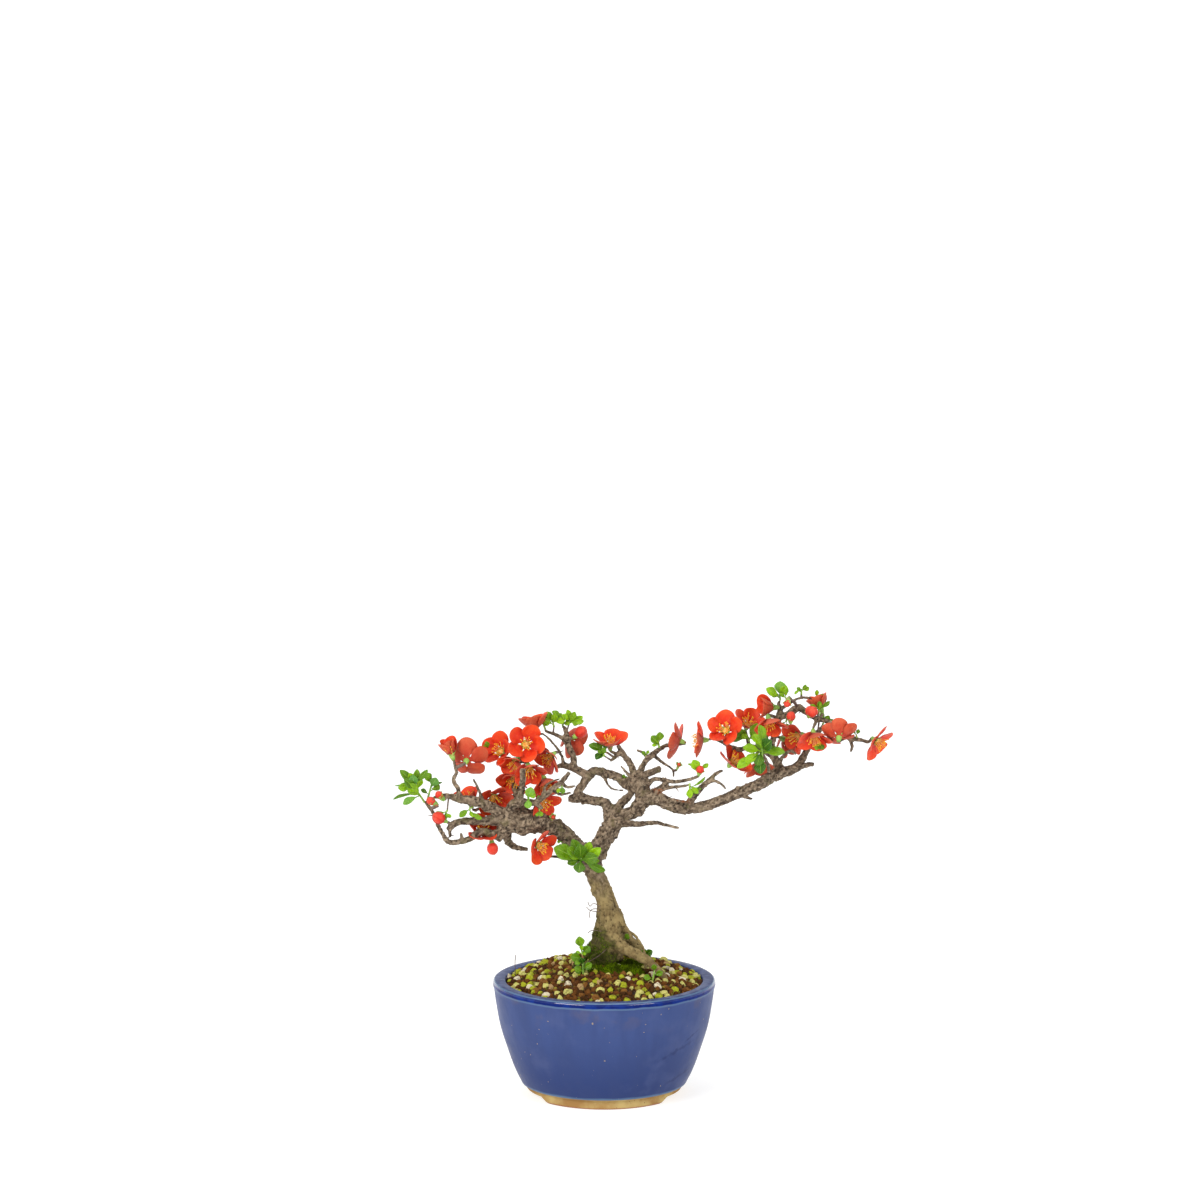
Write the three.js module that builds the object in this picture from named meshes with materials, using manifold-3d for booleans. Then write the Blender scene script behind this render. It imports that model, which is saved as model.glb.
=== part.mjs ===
// A small flowering quince grown as a bonsai, in a round glazed pot. Millimetres, +Z up.
// The tables place everything from the pot's own axis, at the height of its foot: +X is to the
// right and +Y away from the side that is shown. The finished group is moved at the end, so that
// its origin is the middle of the whole plant's width and depth, on the ground.

import * as THREE from 'three';
import { mergeVertices } from 'three/addons/utils/BufferGeometryUtils.js';
import Module from 'manifold-3d';

const wasm = await Module();
wasm.setup();

// Pot
const RIM_RADIUS = 75;
const POT_HEIGHT = 77;
const RIM_WIDTH = 8.5;
const FOOT_RADIUS = 52.3;
const FOOT_HEIGHT = 6.5;
const FOOT_RING = 8;
const FLOOR_TOP = 12;
const NOTCH_HEIGHT = 3.4;
const NOTCH_WIDTH = 44;
const NOTCH_SLOPE = 2;
const DRAIN_RADIUS = 8;
const POT_SIDES = 32;

// Mesh over the drain hole
const MESH_SIDE = 26;
const MESH_THICK = 1.2;
const MESH_HOLES = 3;
const MESH_BAR = 2;

// Soil
const SOIL_EDGE = 75.6;
const SOIL_CROWN = 88;
const SOIL_SIDES = POT_SIDES;
const SOIL_RINGS = 6;
const GRAIN_RELIEF = 1.5;

// Wood, blooms and leaves
const GAP = 0.3;
const BARK_RELIEF = 0.12;
const BEND = 1.2;
const TIP_REACH = 12;
const SHARPEST_BEND = THREE.MathUtils.degToRad(75);
const PETALS = 5;
const PETAL_THICK = 0.7;
const LEAF_THICK = 0.6;
const CALYX_HEIGHT = 4.5;
const CALYX_RADIUS = 2.2;
const CALYX_FOOT = 0.55;
const CLAW_RADIUS = 1.8;
const PETAL_CURL = THREE.MathUtils.degToRad(26);
const PETAL_CUP = 0.09;
const PETAL_MARGIN = 0.2;
const PEDUNCLE_RADIUS = 1.05;
const SHOOT_RADIUS = 0.7;
const SMALL_LEAF = 7;

const X_AXIS = new THREE.Vector3(1, 0, 0);
const Z_AXIS = new THREE.Vector3(0, 0, 1);

// Trunk, roots and branches, each a list of [x, y, z, radius]
const WOOD = {
  trunk: [[0, 3, 60, 8], [0, 3, 76, 11], [1, 2, 88, 10.5], [3, 0, 98, 10.5], [5, -1, 110, 9.6],
    [3, -1, 125, 7.2], [-2, -1, 139, 6.2], [-7, -1, 150, 6], [-10, 0, 157, 6.4]],
  butt_left: [[0, 4, 82, 7], [0, 4, 95, 6], [-3, 2, 104, 5.5], [-1, 0, 116, 4.5], [-1, -1, 127, 4]],
  root_front: [[5, -5, 115, 4], [6, -9, 108, 4.3], [11, -13, 102, 4.2], [21, -16, 97, 3.8],
    [31, -17, 91, 3], [40, -18, 82, 2], [45, -19, 72, 1.2]],
  root_right: [[9, -2, 123, 3.2], [13, 1, 108, 3.6], [22, 4, 98, 3], [30, 6, 89, 2], [36, 8, 78, 1.3]],
  root_back: [[3, 6, 110, 4.5], [7, 13, 100, 4.2], [13, 22, 92, 3.2], [20, 31, 83, 2], [24, 37, 74, 1.2]],
  root_left: [[-1, 2, 106, 4], [-8, 0, 98, 3.6], [-14, -3, 92, 2.6], [-21, -6, 84, 1.6], [-25, -8, 74, 1]],
  root_arch: [[11, -4, 112, 1.3], [19, -6, 109, 1.1], [24, -7, 103, 1], [27, -7, 96, 0.9],
    [28, -7, 80, 0.8]],
  root_thin: [[4, -8, 102, 1.6], [-2, -12, 98, 1.2], [-9, -15, 94, 1.1], [-12, -17, 80, 0.9]],
  root_short: [[8, -5, 125, 2], [12, -8, 117, 1.5], [17, -9, 110, 1.2], [19, -10, 104, 1]],
  rootlet_a: [[-4, -3, 127, 1.1], [-12, -5, 128, 0.7]],
  rootlet_b: [[-4, -4, 110, 1.1], [-11, -7, 112, 0.7]],

  left_main: [[-8, 0, 154, 6.2], [-14, -1, 163, 5.8], [-20, -2, 169, 5.5], [-26, -4, 176, 5.5],
    [-36, -8, 183, 5.8], [-46, -12, 186, 7.5], [-56, -15, 187, 9], [-65, -18, 188, 7], [-70, -20, 189, 5]],
  left_low: [[-65, -18, 184, 5.5], [-70, -20, 179, 4], [-76, -22, 180, 2.8], [-82, -24, 182, 2.4],
    [-88, -26, 178, 2.2], [-94, -28, 176, 2], [-103, -31, 176, 1.7], [-107, -32, 182, 1.5],
    [-110, -33, 188, 1.4], [-112, -33, 194, 1.3], [-118, -31, 203, 1.2]],
  left_low_spur: [[-94, -28, 176, 1.5], [-95, -29, 182, 0.9]],
  left_arm: [[-62, -18, 190, 4.8], [-69, -20, 194, 3.8], [-76, -22, 198, 3.6], [-82, -23, 201, 3.4],
    [-89, -25, 203, 3.1], [-96, -26, 204, 2.7], [-101, -28, 206, 2.1], [-109, -30, 207, 1.2]],
  left_arm_riser: [[-96, -26, 204, 1.9], [-97, -25, 211, 1.5], [-100, -24, 216, 1.4], [-98, -22, 221, 1.3],
    [-99, -20, 225, 1.2]],
  left_arm_twig: [[-80, -22, 200, 1.6], [-83, -19, 208, 1.1], [-87, -17, 216, 0.9]],
  left_stub: [[-69, -20, 189, 4], [-80, -23, 189, 2.9], [-93, -26, 189, 2.4], [-100, -28, 188, 2],
    [-104, -29, 184, 1.5]],
  left_stub_tip: [[-98, -27, 188, 1.9], [-102, -29, 184, 1.4], [-102, -30, 179, 1]],
  left_under: [[-65, -13, 180, 3.6], [-64, -9, 172, 2.5], [-59, -7, 168, 1.9], [-51, -5, 166, 1.2]],
  peg: [[-65, -20, 193, 3.4], [-60, -24, 201, 2.8], [-56, -27, 204, 2.4], [-54, -29, 217, 2],
    [-54, -30, 225, 1.9]],
  cross_twig: [[-59, -24, 200, 2.6], [-53, -24, 202, 2.2], [-46, -25, 201, 1.9], [-41, -24, 197, 1.2]],
  front_limb: [[-51, -24, 201, 2], [-45, -25, 202, 2], [-41, -26, 205, 1.9], [-33, -27, 212, 1.8],
    [-28, -27, 216, 1.7], [-23, -26, 222, 1.3]],
  front_limb_spur_a: [[-29, -27, 215, 1.5], [-24, -26, 212, 1.1], [-19, -25, 213, 0.8]],
  front_limb_spur_b: [[-35, -27, 211, 1.4], [-29, -25, 207, 1.1], [-22, -23, 208, 0.8]],
  front_limb_thorn: [[-41, -26, 205, 1.4], [-39, -24, 212, 1], [-35, -22, 215, 0.8], [-29, -21, 217, 0.6]],
  fork_twig: [[-16, -2, 158, 2], [-22, -5, 159, 1.3], [-32, -9, 162, 1.1], [-46, -13, 163, 0.6]],
  inner_limb: [[-53, -12, 190, 4], [-56, -6, 199, 2.8], [-60, 2, 208, 2.3], [-60, 6, 217, 2],
    [-56, 8, 226, 1.7], [-51, 9, 232, 1.3]],
  inner_limb_left: [[-60, 4, 211, 2], [-66, 6, 218, 1.5], [-70, 7, 224, 1.1]],
  inner_limb_low: [[-57, -5, 200, 2.4], [-66, -2, 200, 1.7], [-76, -3, 198, 1.4], [-86, -7, 193, 1.1]],

  right_main: [[-10, 0, 153, 6.2], [-7, 1, 161, 6.4], [-3, 1, 167, 6.4], [1, 2, 174, 6.4],
    [5, 3, 180, 6.2], [9, 3, 185, 5]],
  centre_riser: [[5, 4, 178, 4.8], [3, 7, 188, 3.9], [1, 9, 195, 3.4], [-4, 10, 196, 3.2],
    [-10, 10, 197, 3.1], [-16, 11, 199, 3.2], [-18, 12, 202, 3], [-15, 13, 206, 2.8], [-11, 14, 212, 3.1]],
  centre_knob: [[-15, 11, 199, 2.8], [-20, 11, 198, 3.3], [-24, 11, 198, 2.2]],
  centre_arch: [[-12, 14, 211, 3], [-7, 15, 216, 2.9], [1, 16, 214, 2.8], [9, 16, 212, 2.8],
    [13, 14, 208, 3], [19, 11, 205, 3.2]],
  centre_left_arm: [[-10, 14, 213, 2.8], [-20, 17, 217, 2.5], [-27, 19, 219, 2], [-32, 21, 218, 1.4]],
  centre_left_riser: [[-20, 17, 216, 2.4], [-21, 20, 225, 2.1], [-24, 22, 232, 2.2], [-26, 25, 242, 1.6]],
  centre_left_top: [[-24, 22, 233, 1.9], [-30, 24, 238, 1.5], [-39, 27, 241, 1]],
  centre_left_twig: [[-27, 19, 219, 1.4], [-30, 20, 228, 1], [-40, 23, 239, 0.8]],
  arch_twig: [[0, 16, 214, 1.6], [2, 17, 207, 0.9], [6, 18, 203, 0.8], [13, 19, 202, 0.7]],
  mid_riser: [[6, 4, 182, 3.6], [9, 7, 192, 3], [17, 10, 200, 2.4], [19, 10, 204, 2.6], [21, 9, 209, 3.2]],
  mid_loop: [[7, 3, 183, 4.6], [12, 2, 188, 4.4], [19, 1, 190, 4.2], [25, 1, 195, 4.2], [27, 3, 200, 4.6],
    [25, 6, 206, 5.6], [21, 8, 210, 4.2]],
  cut_limb: [[25, 5, 206, 3.4], [27, 2, 215, 2.6], [32, -2, 218, 2.3], [37, -6, 221, 2.3]],
  right_knob: [[27, 2, 200, 3.6], [34, -1, 204, 2.8], [42, -4, 211, 1.6]],
  right_knob_twig: [[36, -2, 206, 2], [43, -5, 208, 1.4], [55, -8, 210, 0.9]],
  right_main_limb: [[20, 1, 190, 4.6], [25, 0, 197, 4.6], [32, -1, 200, 4.3], [40, -2, 198, 4.2],
    [51, -4, 194, 3.9], [65, -5, 195, 3.6], [79, -6, 200, 3.5], [93, -6, 206, 3.7], [105, -5, 211, 3.9],
    [115, -3, 217, 4], [124, -1, 219, 3.6], [130, 2, 222, 3], [135, 6, 230, 2.3], [140, 11, 239, 2],
    [147, 15, 246, 1.5]],
  limb_stub: [[129, 1, 221, 2.4], [136, -2, 223, 1.8], [140, -4, 224, 1.4]],
  limb_under_spur: [[90, -6, 205, 1.9], [95, -8, 202, 1.3], [99, -9, 201, 0.9]],
  limb_loop: [[40, -3, 199, 2], [45, -8, 200, 1.5], [49, -10, 200, 1.3], [56, -11, 199, 1]],
  gnarled_spur: [[56, -6, 196, 2.6], [59, -8, 202, 2.6], [63, -9, 207, 2.3], [67, -10, 211, 1.9],
    [75, -12, 219, 1.3], [79, -12, 221, 1]],
  gnarled_spur_tip: [[68, -10, 212, 1.7], [73, -13, 214, 1.2], [78, -15, 212, 1], [81, -16, 209, 0.8]],
  fine_shoot: [[109, -5, 212, 2], [110, -8, 220, 1.4], [107, -12, 229, 1.2], [104, -14, 233, 1]],
  shoot: [[118, -1, 216, 3.2], [117, 1, 221, 2.9], [114, 3, 227, 2.8], [109, 4, 231, 2.6],
    [102, 5, 233, 2.2], [97, 6, 234, 1.9], [92, 7, 232, 1.7], [86, 8, 233, 1.6], [80, 9, 236, 1.3],
    [73, 10, 239, 1]],
  shoot_spur: [[116, 1, 223, 1.9], [119, -2, 228, 1.4], [124, -5, 233, 1.2], [128, -8, 231, 0.9]],
  top_riser: [[110, 4, 229, 2.6], [113, 7, 238, 2.2], [116, 9, 249, 2.2], [118, 10, 257, 2.1],
    [117, 11, 262, 1.4]],
  top_limb: [[116, 9, 253, 2.2], [122, 7, 255, 2.2], [126, 5, 258, 2.6], [130, 3, 261, 2.5],
    [135, 1, 258, 2], [142, -2, 254, 1.8], [148, -4, 253, 1.7], [156, -6, 248, 1.8], [162, -8, 243, 1.9],
    [171, -10, 241, 1.4], [176, -11, 240, 1.1]],
  top_limb_spur: [[163, -8, 243, 1.6], [165, -10, 237, 1.2], [164, -11, 233, 0.9]],
  top_twig: [[118, 10, 259, 1.5], [123, 9, 262, 1.1], [129, 8, 266, 1], [135, 7, 267, 1]],
  up_limb_left: [[21, 9, 208, 3], [19, 12, 217, 2.4], [17, 14, 222, 2.2], [13, 16, 227, 2.1],
    [9, 18, 233, 1.4]],
  up_limb_left_spur: [[11, 17, 229, 1.8], [7, 15, 225, 1.3], [4, 13, 223, 0.9]],
  up_limb_right: [[23, 8, 210, 2.8], [26, 14, 220, 2], [31, 19, 225, 1.9], [37, 24, 229, 1.7],
    [43, 28, 232, 1.2]],
  up_limb_right_spur: [[30, 18, 224, 1.6], [26, 17, 228, 1.1], [22, 16, 230, 0.8]],
  up_limb_right_fork: [[33, 20, 226, 1.5], [40, 22, 220, 1], [46, 22, 216, 0.9], [47, 20, 211, 0.8]],
  needle_twig: [[20, 9, 211, 1.6], [15, 8, 216, 1.1], [11, 7, 221, 0.7]],
  level_twig: [[27, 3, 206, 2.2], [32, 2, 212, 1.7], [37, -1, 213, 1.5], [47, -4, 212, 1.4],
    [57, -7, 214, 1.2], [62, -8, 216, 1]],
  low_right: [[6, 1, 182, 4], [14, -5, 184, 2.6], [22, -9, 184, 2], [34, -14, 186, 1.5], [40, -16, 185, 1.2],
    [50, -18, 183, 0.9]],
};

// Blooms: where the calyx starts, which way they face as seen from the front (angle from +X
// towards +Z, and how far towards the viewer), how far the petals lean out, and their length
const BLOOMS = {
  bloom_01: { base: [-100, -18, 229], face: [108, 8], open: 24, size: 12, turn: 10 },
  bloom_02: { base: [-92, -19, 227], face: [70, -72], open: 66, size: 14, turn: 20, fine: true },
  bloom_03: { base: [-53, 4, 235], face: [70, 72], open: 62, size: 14, turn: -8, fine: true, tuft: true },
  bloom_04: { base: [-67, 8, 229], face: [140, 50], open: 58, size: 13, turn: 20 },
  bloom_05: { base: [-57, 0, 228], face: [235, 40], open: 50, size: 13, turn: 0 },
  bloom_06: { base: [-46, 18, 240], face: [100, -5], open: 40, size: 13.5, turn: 0 },
  bloom_07: { base: [-33, 12, 229], face: [215, 35], open: 58, size: 12.5, turn: 36 },
  bloom_08: { base: [-75, -4, 204], face: [300, 60], open: 62, size: 13.5, turn: 10, fine: true },
  bloom_09: { base: [-51, -7, 225], face: [285, 50], open: 50, size: 12.5, turn: 18 },
  bloom_10: { base: [-44, -10, 203], face: [320, 35], open: 56, size: 12.5, turn: 10 },
  bloom_11: { base: [-88, -8, 195], face: [115, 10], open: 46, size: 12, turn: 0 },
  bloom_12: { base: [-84, -16, 177], face: [65, 33], open: 62, size: 12.5, turn: 0, fine: true, tuft: true },
  bloom_13: { base: [-47, -17, 173], face: [340, 40], open: 64, size: 12.5, turn: 25, fine: true },
  bloom_14: { base: [-26, 28, 237], face: [320, -40], open: 56, size: 12.5, turn: 0 },
  bloom_15: { base: [4, 20, 229], face: [91, 16], open: 60, size: 13.5, turn: 18, fine: true, tuft: true },
  bloom_16: { base: [55, 27, 233], face: [163, -12], open: 66, size: 13, turn: 0 },
  bloom_17: { base: [70, 9, 238], face: [180, 2], open: 70, size: 12, turn: 10 },
  bloom_18: { base: [82, 1, 244], face: [115, 55], open: 58, size: 13, turn: 20, fine: true },
  bloom_19: { base: [95, 14, 244], face: [75, 30], open: 54, size: 12.5, turn: 50 },
  bloom_20: { base: [83, 1, 221], face: [50, 20], open: 66, size: 13, turn: 12, fine: true },
  bloom_21: { base: [117, 8, 260], face: [172, 18], open: 30, size: 12, turn: 0 },
  bloom_22: { base: [109, -4, 257], face: [280, 35], open: 50, size: 13, turn: 20 },
  bloom_23: { base: [118, 14, 239], face: [330, -30], open: 58, size: 12.5, turn: 0 },
  bloom_24: { base: [102, 15, 225], face: [285, -10], open: 56, size: 12, turn: 15 },
  bloom_25: { base: [133, 6, 243], face: [200, 35], open: 58, size: 12, turn: 0 },
  bloom_26: { base: [139, -8, 248], face: [275, 38], open: 58, size: 13.5, turn: 8, fine: true },
  bloom_27: { base: [155, -22, 242], face: [75, -50], open: 58, size: 13, turn: 20, fine: true },
  bloom_28: { base: [146, 3, 257], face: [110, -5], open: 36, size: 11, turn: 0 },
  bloom_29: { base: [178, -12, 243], face: [325, 30], open: 74, size: 12.5, turn: 30, fine: true },
};

// Closed buds: where the calyx starts, which way they point, and the diameter of the petals
const BUDS = {
  bud_01: { base: [-110, -33, 201], face: [145, 5], size: 5.4 },
  bud_02: { base: [-106, -30, 204], face: [130, 20], size: 5 },
  bud_03: { base: [-104, -33, 190], face: [150, 20], size: 8 },
  bud_04: { base: [-75, -21, 176], face: [278, 20], size: 7.4 },
  bud_05: { base: [-21, 24, 237], face: [38, 5], size: 8 },
  bud_06: { base: [136, -7, 256], face: [60, 40], size: 7 },
};

// Leafy shoots: where the shoot starts, how it points, its length, and for each leaf its
// direction as seen from the front, how far it comes towards the viewer, its length and width,
// and how far the blade is turned about its own length (0 shows its face)
const SHOOTS = {
  leaves_01: { base: [-119, -31, 203], face: [122, 5], length: 15, leaves: [
    [133, 25, 14.5, 8.5, 10], [206, 10, 12.5, 5.5, 25], [192, 0, 17.5, 3.6, 50], [168, -20, 17, 3, 60],
    [132, 30, 14, 6.5, 20], [128, 10, 17, 6, 25], [97, 30, 11, 7, 0], [78, 10, 12, 5, 20],
    [46, 15, 15, 4.6, 25]] },
  leaves_02: { base: [-117, -27, 204], face: [75, -15], length: 13, leaves: [
    [144, 10, 6.5, 3.2, 20], [30, -25, 8, 5, 20], [62, 15, 8.5, 7, 15], [115, 15, 9.5, 6, 25],
    [357, 10, 6.5, 2.4, 60]] },
  leaves_03: { base: [-40, 27, 243], face: [110, 0], length: 5, leaves: [
    [92, 25, 8, 6.5, 0], [165, 5, 8, 5, 15], [45, 20, 7.5, 5, 20]] },
  leaves_04: { base: [-28, 26, 245], face: [85, 10], length: 3, leaves: [
    [47, 15, 11, 5, 25], [28, -15, 8, 4.5, 25], [134, 15, 11, 5, 30]] },
  leaves_05: { base: [2, 17, 228], face: [150, 40], length: 4, leaves: [
    [155, 15, 13.5, 6, 25], [84, 5, 7, 4.5, 0], [222, 40, 9, 5, 20]] },
  leaves_06: { base: [37, 22, 231], face: [95, 0], length: 3, leaves: [
    [125, 10, 9, 6, 10], [85, 20, 8.5, 6, 15]] },
  leaves_07: { base: [63, -10, 217], face: [85, 5], length: 5, leaves: [
    [112, 15, 11, 7, 5], [148, -10, 9, 3, 50], [32, 10, 7, 3.6, 25]],
  bud: { base: [63, -10, 217.5], face: [80, 40], size: 5.2 } },
  leaves_08: { base: [57, -9, 211], face: [265, 30], length: 2.5, leaves: [
    [322, 30, 8.5, 4.5, 20], [350, 10, 8, 2.6, 45], [38, 20, 14, 2.8, 50]] },
  leaves_09: { base: [97, 4, 238], face: [100, 20], length: 3, leaves: [
    [68, 25, 15, 7.5, 15], [168, 20, 14, 6.5, 20], [185, 10, 13.5, 6, 20]] },
  leaves_10: { base: [104, -15, 233], face: [80, 40], length: 3, leaves: [
    [90, 25, 12, 8.2, 0], [15, 20, 12.5, 6.5, 15], [212, 25, 14, 6.5, 15], [252, 30, 11, 8.2, 5],
    [70, -10, 11, 3, 50]] },
  leaves_11: { base: [118, 11, 265], face: [95, 5], length: 3, leaves: [
    [142, 15, 12.5, 6.5, 15], [90, -5, 11, 8.5, 0], [64, 25, 10, 6.5, 10], [155, -25, 9, 4, 40]] },
  leaves_12: { base: [132, 8, 269], face: [90, 10], length: 4, leaves: [
    [128, 10, 5, 3, 20], [60, 15, 6, 3, 20], [20, 5, 5.5, 3.6, 15], [215, 20, 6, 2.4, 40]] },
  leaves_13: { base: [143, -2, 258], face: [85, 10], length: 3, leaves: [
    [138, 15, 8, 3.6, 20], [88, 20, 7, 3.8, 10], [38, 10, 9, 3.4, 25]] },
  leaves_14: { base: [147, 15, 248], face: [60, 10], length: 2.5, leaves: [
    [55, 20, 7, 4.5, 10], [10, 10, 7, 4, 20], [120, -15, 6, 4, 20]] },
  leaves_15: { base: [-16, -8, 158], face: [80, 60], length: 8, leaves: [
    [149, 20, 22, 11.5, 10], [110, 15, 17, 8, 15], [189, 20, 9.5, 6, 20], [132, 35, 17, 8, 20],
    [94, 40, 17, 9, 10], [66, 20, 15.5, 7.5, 25], [34, 20, 17, 7.5, 20], [15, 35, 14, 9, 10],
    [259, 30, 10, 8.5, 5], [334, 5, 18, 6.5, 30]] },
  leaves_16: { base: [-50, -27, 204], face: [110, 30], length: 2.5, leaves: [
    [78, 25, 9.5, 7, 5], [275, 30, 7.5, 5.5, 10], [20, 20, 6, 4, 20]] },
  weed_01: { base: [-14, -22, 84], face: [92, 10], length: 11, leaves: [
    [150, 20, 7, 5, 10], [30, 15, 7, 5, 10], [100, 30, 6, 4.5, 0], [200, 25, 6, 4, 20]] },
  weed_02: { base: [32, -26, 80.2], face: [80, 15], length: 9, leaves: [
    [160, 20, 7, 4.5, 10], [25, 20, 7, 4.5, 10], [95, 30, 6, 4, 0]] },
};

// Half of a leaf's outline, from stalk to tip, as [along, across], with its blunt teeth
const LEAF_EDGE = [[0, 0], [0.52, 0.82], [0.82, 0.9], [1, 0]];
const SMALL_LEAF_EDGE = [[0, 0], [0.5, 1], [1, 0]];
// Half of a petal's outline, past its claw; the finer petals have one more corner at the tip
const PETAL_EDGE = [[0.5, 0.92], [0.86, 0.84]];
const PLAIN_PETAL_EDGE = [[0.6, 1], [1, 0.45]];

const MATERIALS = {
  glaze: new THREE.MeshStandardMaterial({ color: 0x3a4a8c, roughness: 0.2, metalness: 0 }),
  plastic: new THREE.MeshStandardMaterial({ color: 0x202224, roughness: 0.6, metalness: 0 }),
  soil: new THREE.MeshStandardMaterial({ color: 0x6b4526, roughness: 0.95, metalness: 0 }),
  bark: new THREE.MeshStandardMaterial({ color: 0x6e6252, roughness: 0.9, metalness: 0 }),
  petal: new THREE.MeshStandardMaterial({ color: 0xe84a24, roughness: 0.55, metalness: 0 }),
  stamen: new THREE.MeshStandardMaterial({ color: 0xf0c24a, roughness: 0.6, metalness: 0 }),
  bud: new THREE.MeshStandardMaterial({ color: 0xe2604a, roughness: 0.5, metalness: 0 }),
  leaf: new THREE.MeshStandardMaterial({ color: 0x5fae1e, roughness: 0.45, metalness: 0 }),
};

const group = new THREE.Group();

// A repeatable stream of numbers from 0 to 1, seeded by a name
function randomStream(name) {
  let state = 7;
  for (const letter of name) {
    state = Math.imul(state, 31) + letter.charCodeAt(0) | 0;
  }
  return () => {
    state = state + 0x6d2b79f5 | 0;
    let mixed = Math.imul(state ^ state >>> 15, 1 | state);
    mixed = mixed + Math.imul(mixed ^ mixed >>> 7, 61 | mixed) ^ mixed;
    return ((mixed ^ mixed >>> 14) >>> 0) / 4294967296;
  };
}

// The direction that faces `angle` in the picture and comes `toward` the viewer, in degrees
function direction([angle, toward]) {
  const a = THREE.MathUtils.degToRad(angle);
  const t = THREE.MathUtils.degToRad(toward);
  return new THREE.Vector3(Math.cos(t) * Math.cos(a), -Math.sin(t), Math.cos(t) * Math.sin(a));
}

function signedVolume(position, index) {
  const a = new THREE.Vector3();
  const b = new THREE.Vector3();
  const c = new THREE.Vector3();
  let volume = 0;
  for (let i = 0; i < index.length; i += 3) {
    a.fromBufferAttribute(position, index[i]);
    b.fromBufferAttribute(position, index[i + 1]);
    c.fromBufferAttribute(position, index[i + 2]);
    volume += a.dot(b.cross(c)) / 6;
  }
  return volume;
}

// A closed geometry as a solid, with its faces turned outwards
function solidOf(geometry) {
  const bare = geometry.clone();
  bare.deleteAttribute('normal');
  bare.deleteAttribute('uv');
  const merged = mergeVertices(bare, 1e-4);
  const all = Array.from(merged.index.array);
  const index = [];
  for (let i = 0; i < all.length; i += 3) {
    const [a, b, c] = all.slice(i, i + 3);
    if (a !== b && b !== c && a !== c) {
      index.push(a, b, c);
    }
  }
  if (signedVolume(merged.attributes.position, index) < 0) {
    index.reverse();
  }
  const vertProperties = new Float32Array(merged.attributes.position.array);
  return new wasm.Manifold(new wasm.Mesh({ numProp: 3, vertProperties, triVerts: new Uint32Array(index) }));
}

function joined(solids) {
  return solids.reduce((all, next) => all.add(next));
}

// The biggest of the bodies that a cut leaves
function mainBody(solid) {
  const bodies = solid.decompose();
  return bodies.reduce((best, next) => (next.volume() > best.volume() ? next : best));
}

function addNode(name, solid, material) {
  const mesh = solid.getMesh();
  const geometry = new THREE.BufferGeometry();
  geometry.setAttribute('position', new THREE.BufferAttribute(new Float32Array(mesh.vertProperties), 3));
  geometry.setIndex(new THREE.BufferAttribute(new Uint32Array(mesh.triVerts), 1));
  geometry.computeVertexNormals();
  const node = new THREE.Mesh(geometry, material);
  node.name = name;
  group.add(node);
}

function boxesMeet(one, other) {
  const a = one.boundingBox();
  const b = other.boundingBox();
  return [0, 1, 2].every((k) => a.min[k] < b.max[k] && b.min[k] < a.max[k]);
}

// A frame whose third axis is `forward`, turned about it by `turn` radians
function frameAlong(forward, turn) {
  const side = new THREE.Vector3().crossVectors(Math.abs(forward.z) > 0.9 ? X_AXIS : Z_AXIS, forward);
  side.normalize();
  side.applyAxisAngle(forward, turn);
  const up = new THREE.Vector3().crossVectors(forward, side);
  return { side, up, forward };
}

// The direction away from a frame's forward axis, at an angle round it
function outward(frame, angle) {
  return frame.side.clone().multiplyScalar(Math.cos(angle)).addScaledVector(frame.up, Math.sin(angle));
}

function geometryOf(corners, index) {
  const geometry = new THREE.BufferGeometry();
  const numbers = corners.flatMap((corner) => corner.toArray());
  geometry.setAttribute('position', new THREE.Float32BufferAttribute(numbers, 3));
  geometry.setIndex(index);
  return geometry;
}

// A tapered, slightly uneven rod through a list of [x, y, z, radius], with a ring of corners at
// each of them and a flat end at the first and the last
function rod(name, points, sides, relief, grow) {
  const random = randomStream(name);
  const centres = points.map(([x, y, z]) => new THREE.Vector3(x, y, z));
  const last = points.length - 1;
  const corners = [];
  const index = [];
  let side = null;
  points.forEach((point, ring) => {
    const along = centres[Math.min(last, ring + 1)].clone().sub(centres[Math.max(0, ring - 1)]).normalize();
    side = side ?? frameAlong(along, 0).side;
    side = side.clone().addScaledVector(along, -side.dot(along)).normalize();
    const up = new THREE.Vector3().crossVectors(along, side);
    const end = ring === 0 ? -grow : ring === last ? grow : 0;
    const centre = centres[ring].clone().addScaledVector(along, end);
    for (let i = 0; i < sides; i += 1) {
      const angle = i * 2 * Math.PI / sides;
      const radius = point[3] * (1 + relief * (2 * random() - 1)) + grow;
      const corner = centre.clone().addScaledVector(side, radius * Math.cos(angle));
      corners.push(corner.addScaledVector(up, radius * Math.sin(angle)));
    }
  });
  for (let ring = 0; ring < last; ring += 1) {
    for (let i = 0; i < sides; i += 1) {
      const a = ring * sides + i;
      const b = ring * sides + (i + 1) % sides;
      index.push(a, b, b + sides, a, b + sides, a + sides);
    }
  }
  for (let i = 1; i + 1 < sides; i += 1) {
    index.push(0, i + 1, i, last * sides, last * sides + i, last * sides + i + 1);
  }
  return solidOf(geometryOf(corners, index));
}

// The points of a branch that its shape needs, without those that lie on the line between others
function bends(points, tolerance) {
  const kept = [points[0]];
  for (let i = 1; i + 1 < points.length; i += 1) {
    const here = new THREE.Vector3(...points[i]);
    const before = new THREE.Vector3(...kept[kept.length - 1]);
    const chord = new THREE.Line3(before, new THREE.Vector3(...points[i + 1]));
    if (chord.closestPointToPoint(here, true, new THREE.Vector3()).distanceTo(here) > tolerance) {
      kept.push(points[i]);
    }
  }
  return [...kept, points[points.length - 1]];
}

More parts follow.
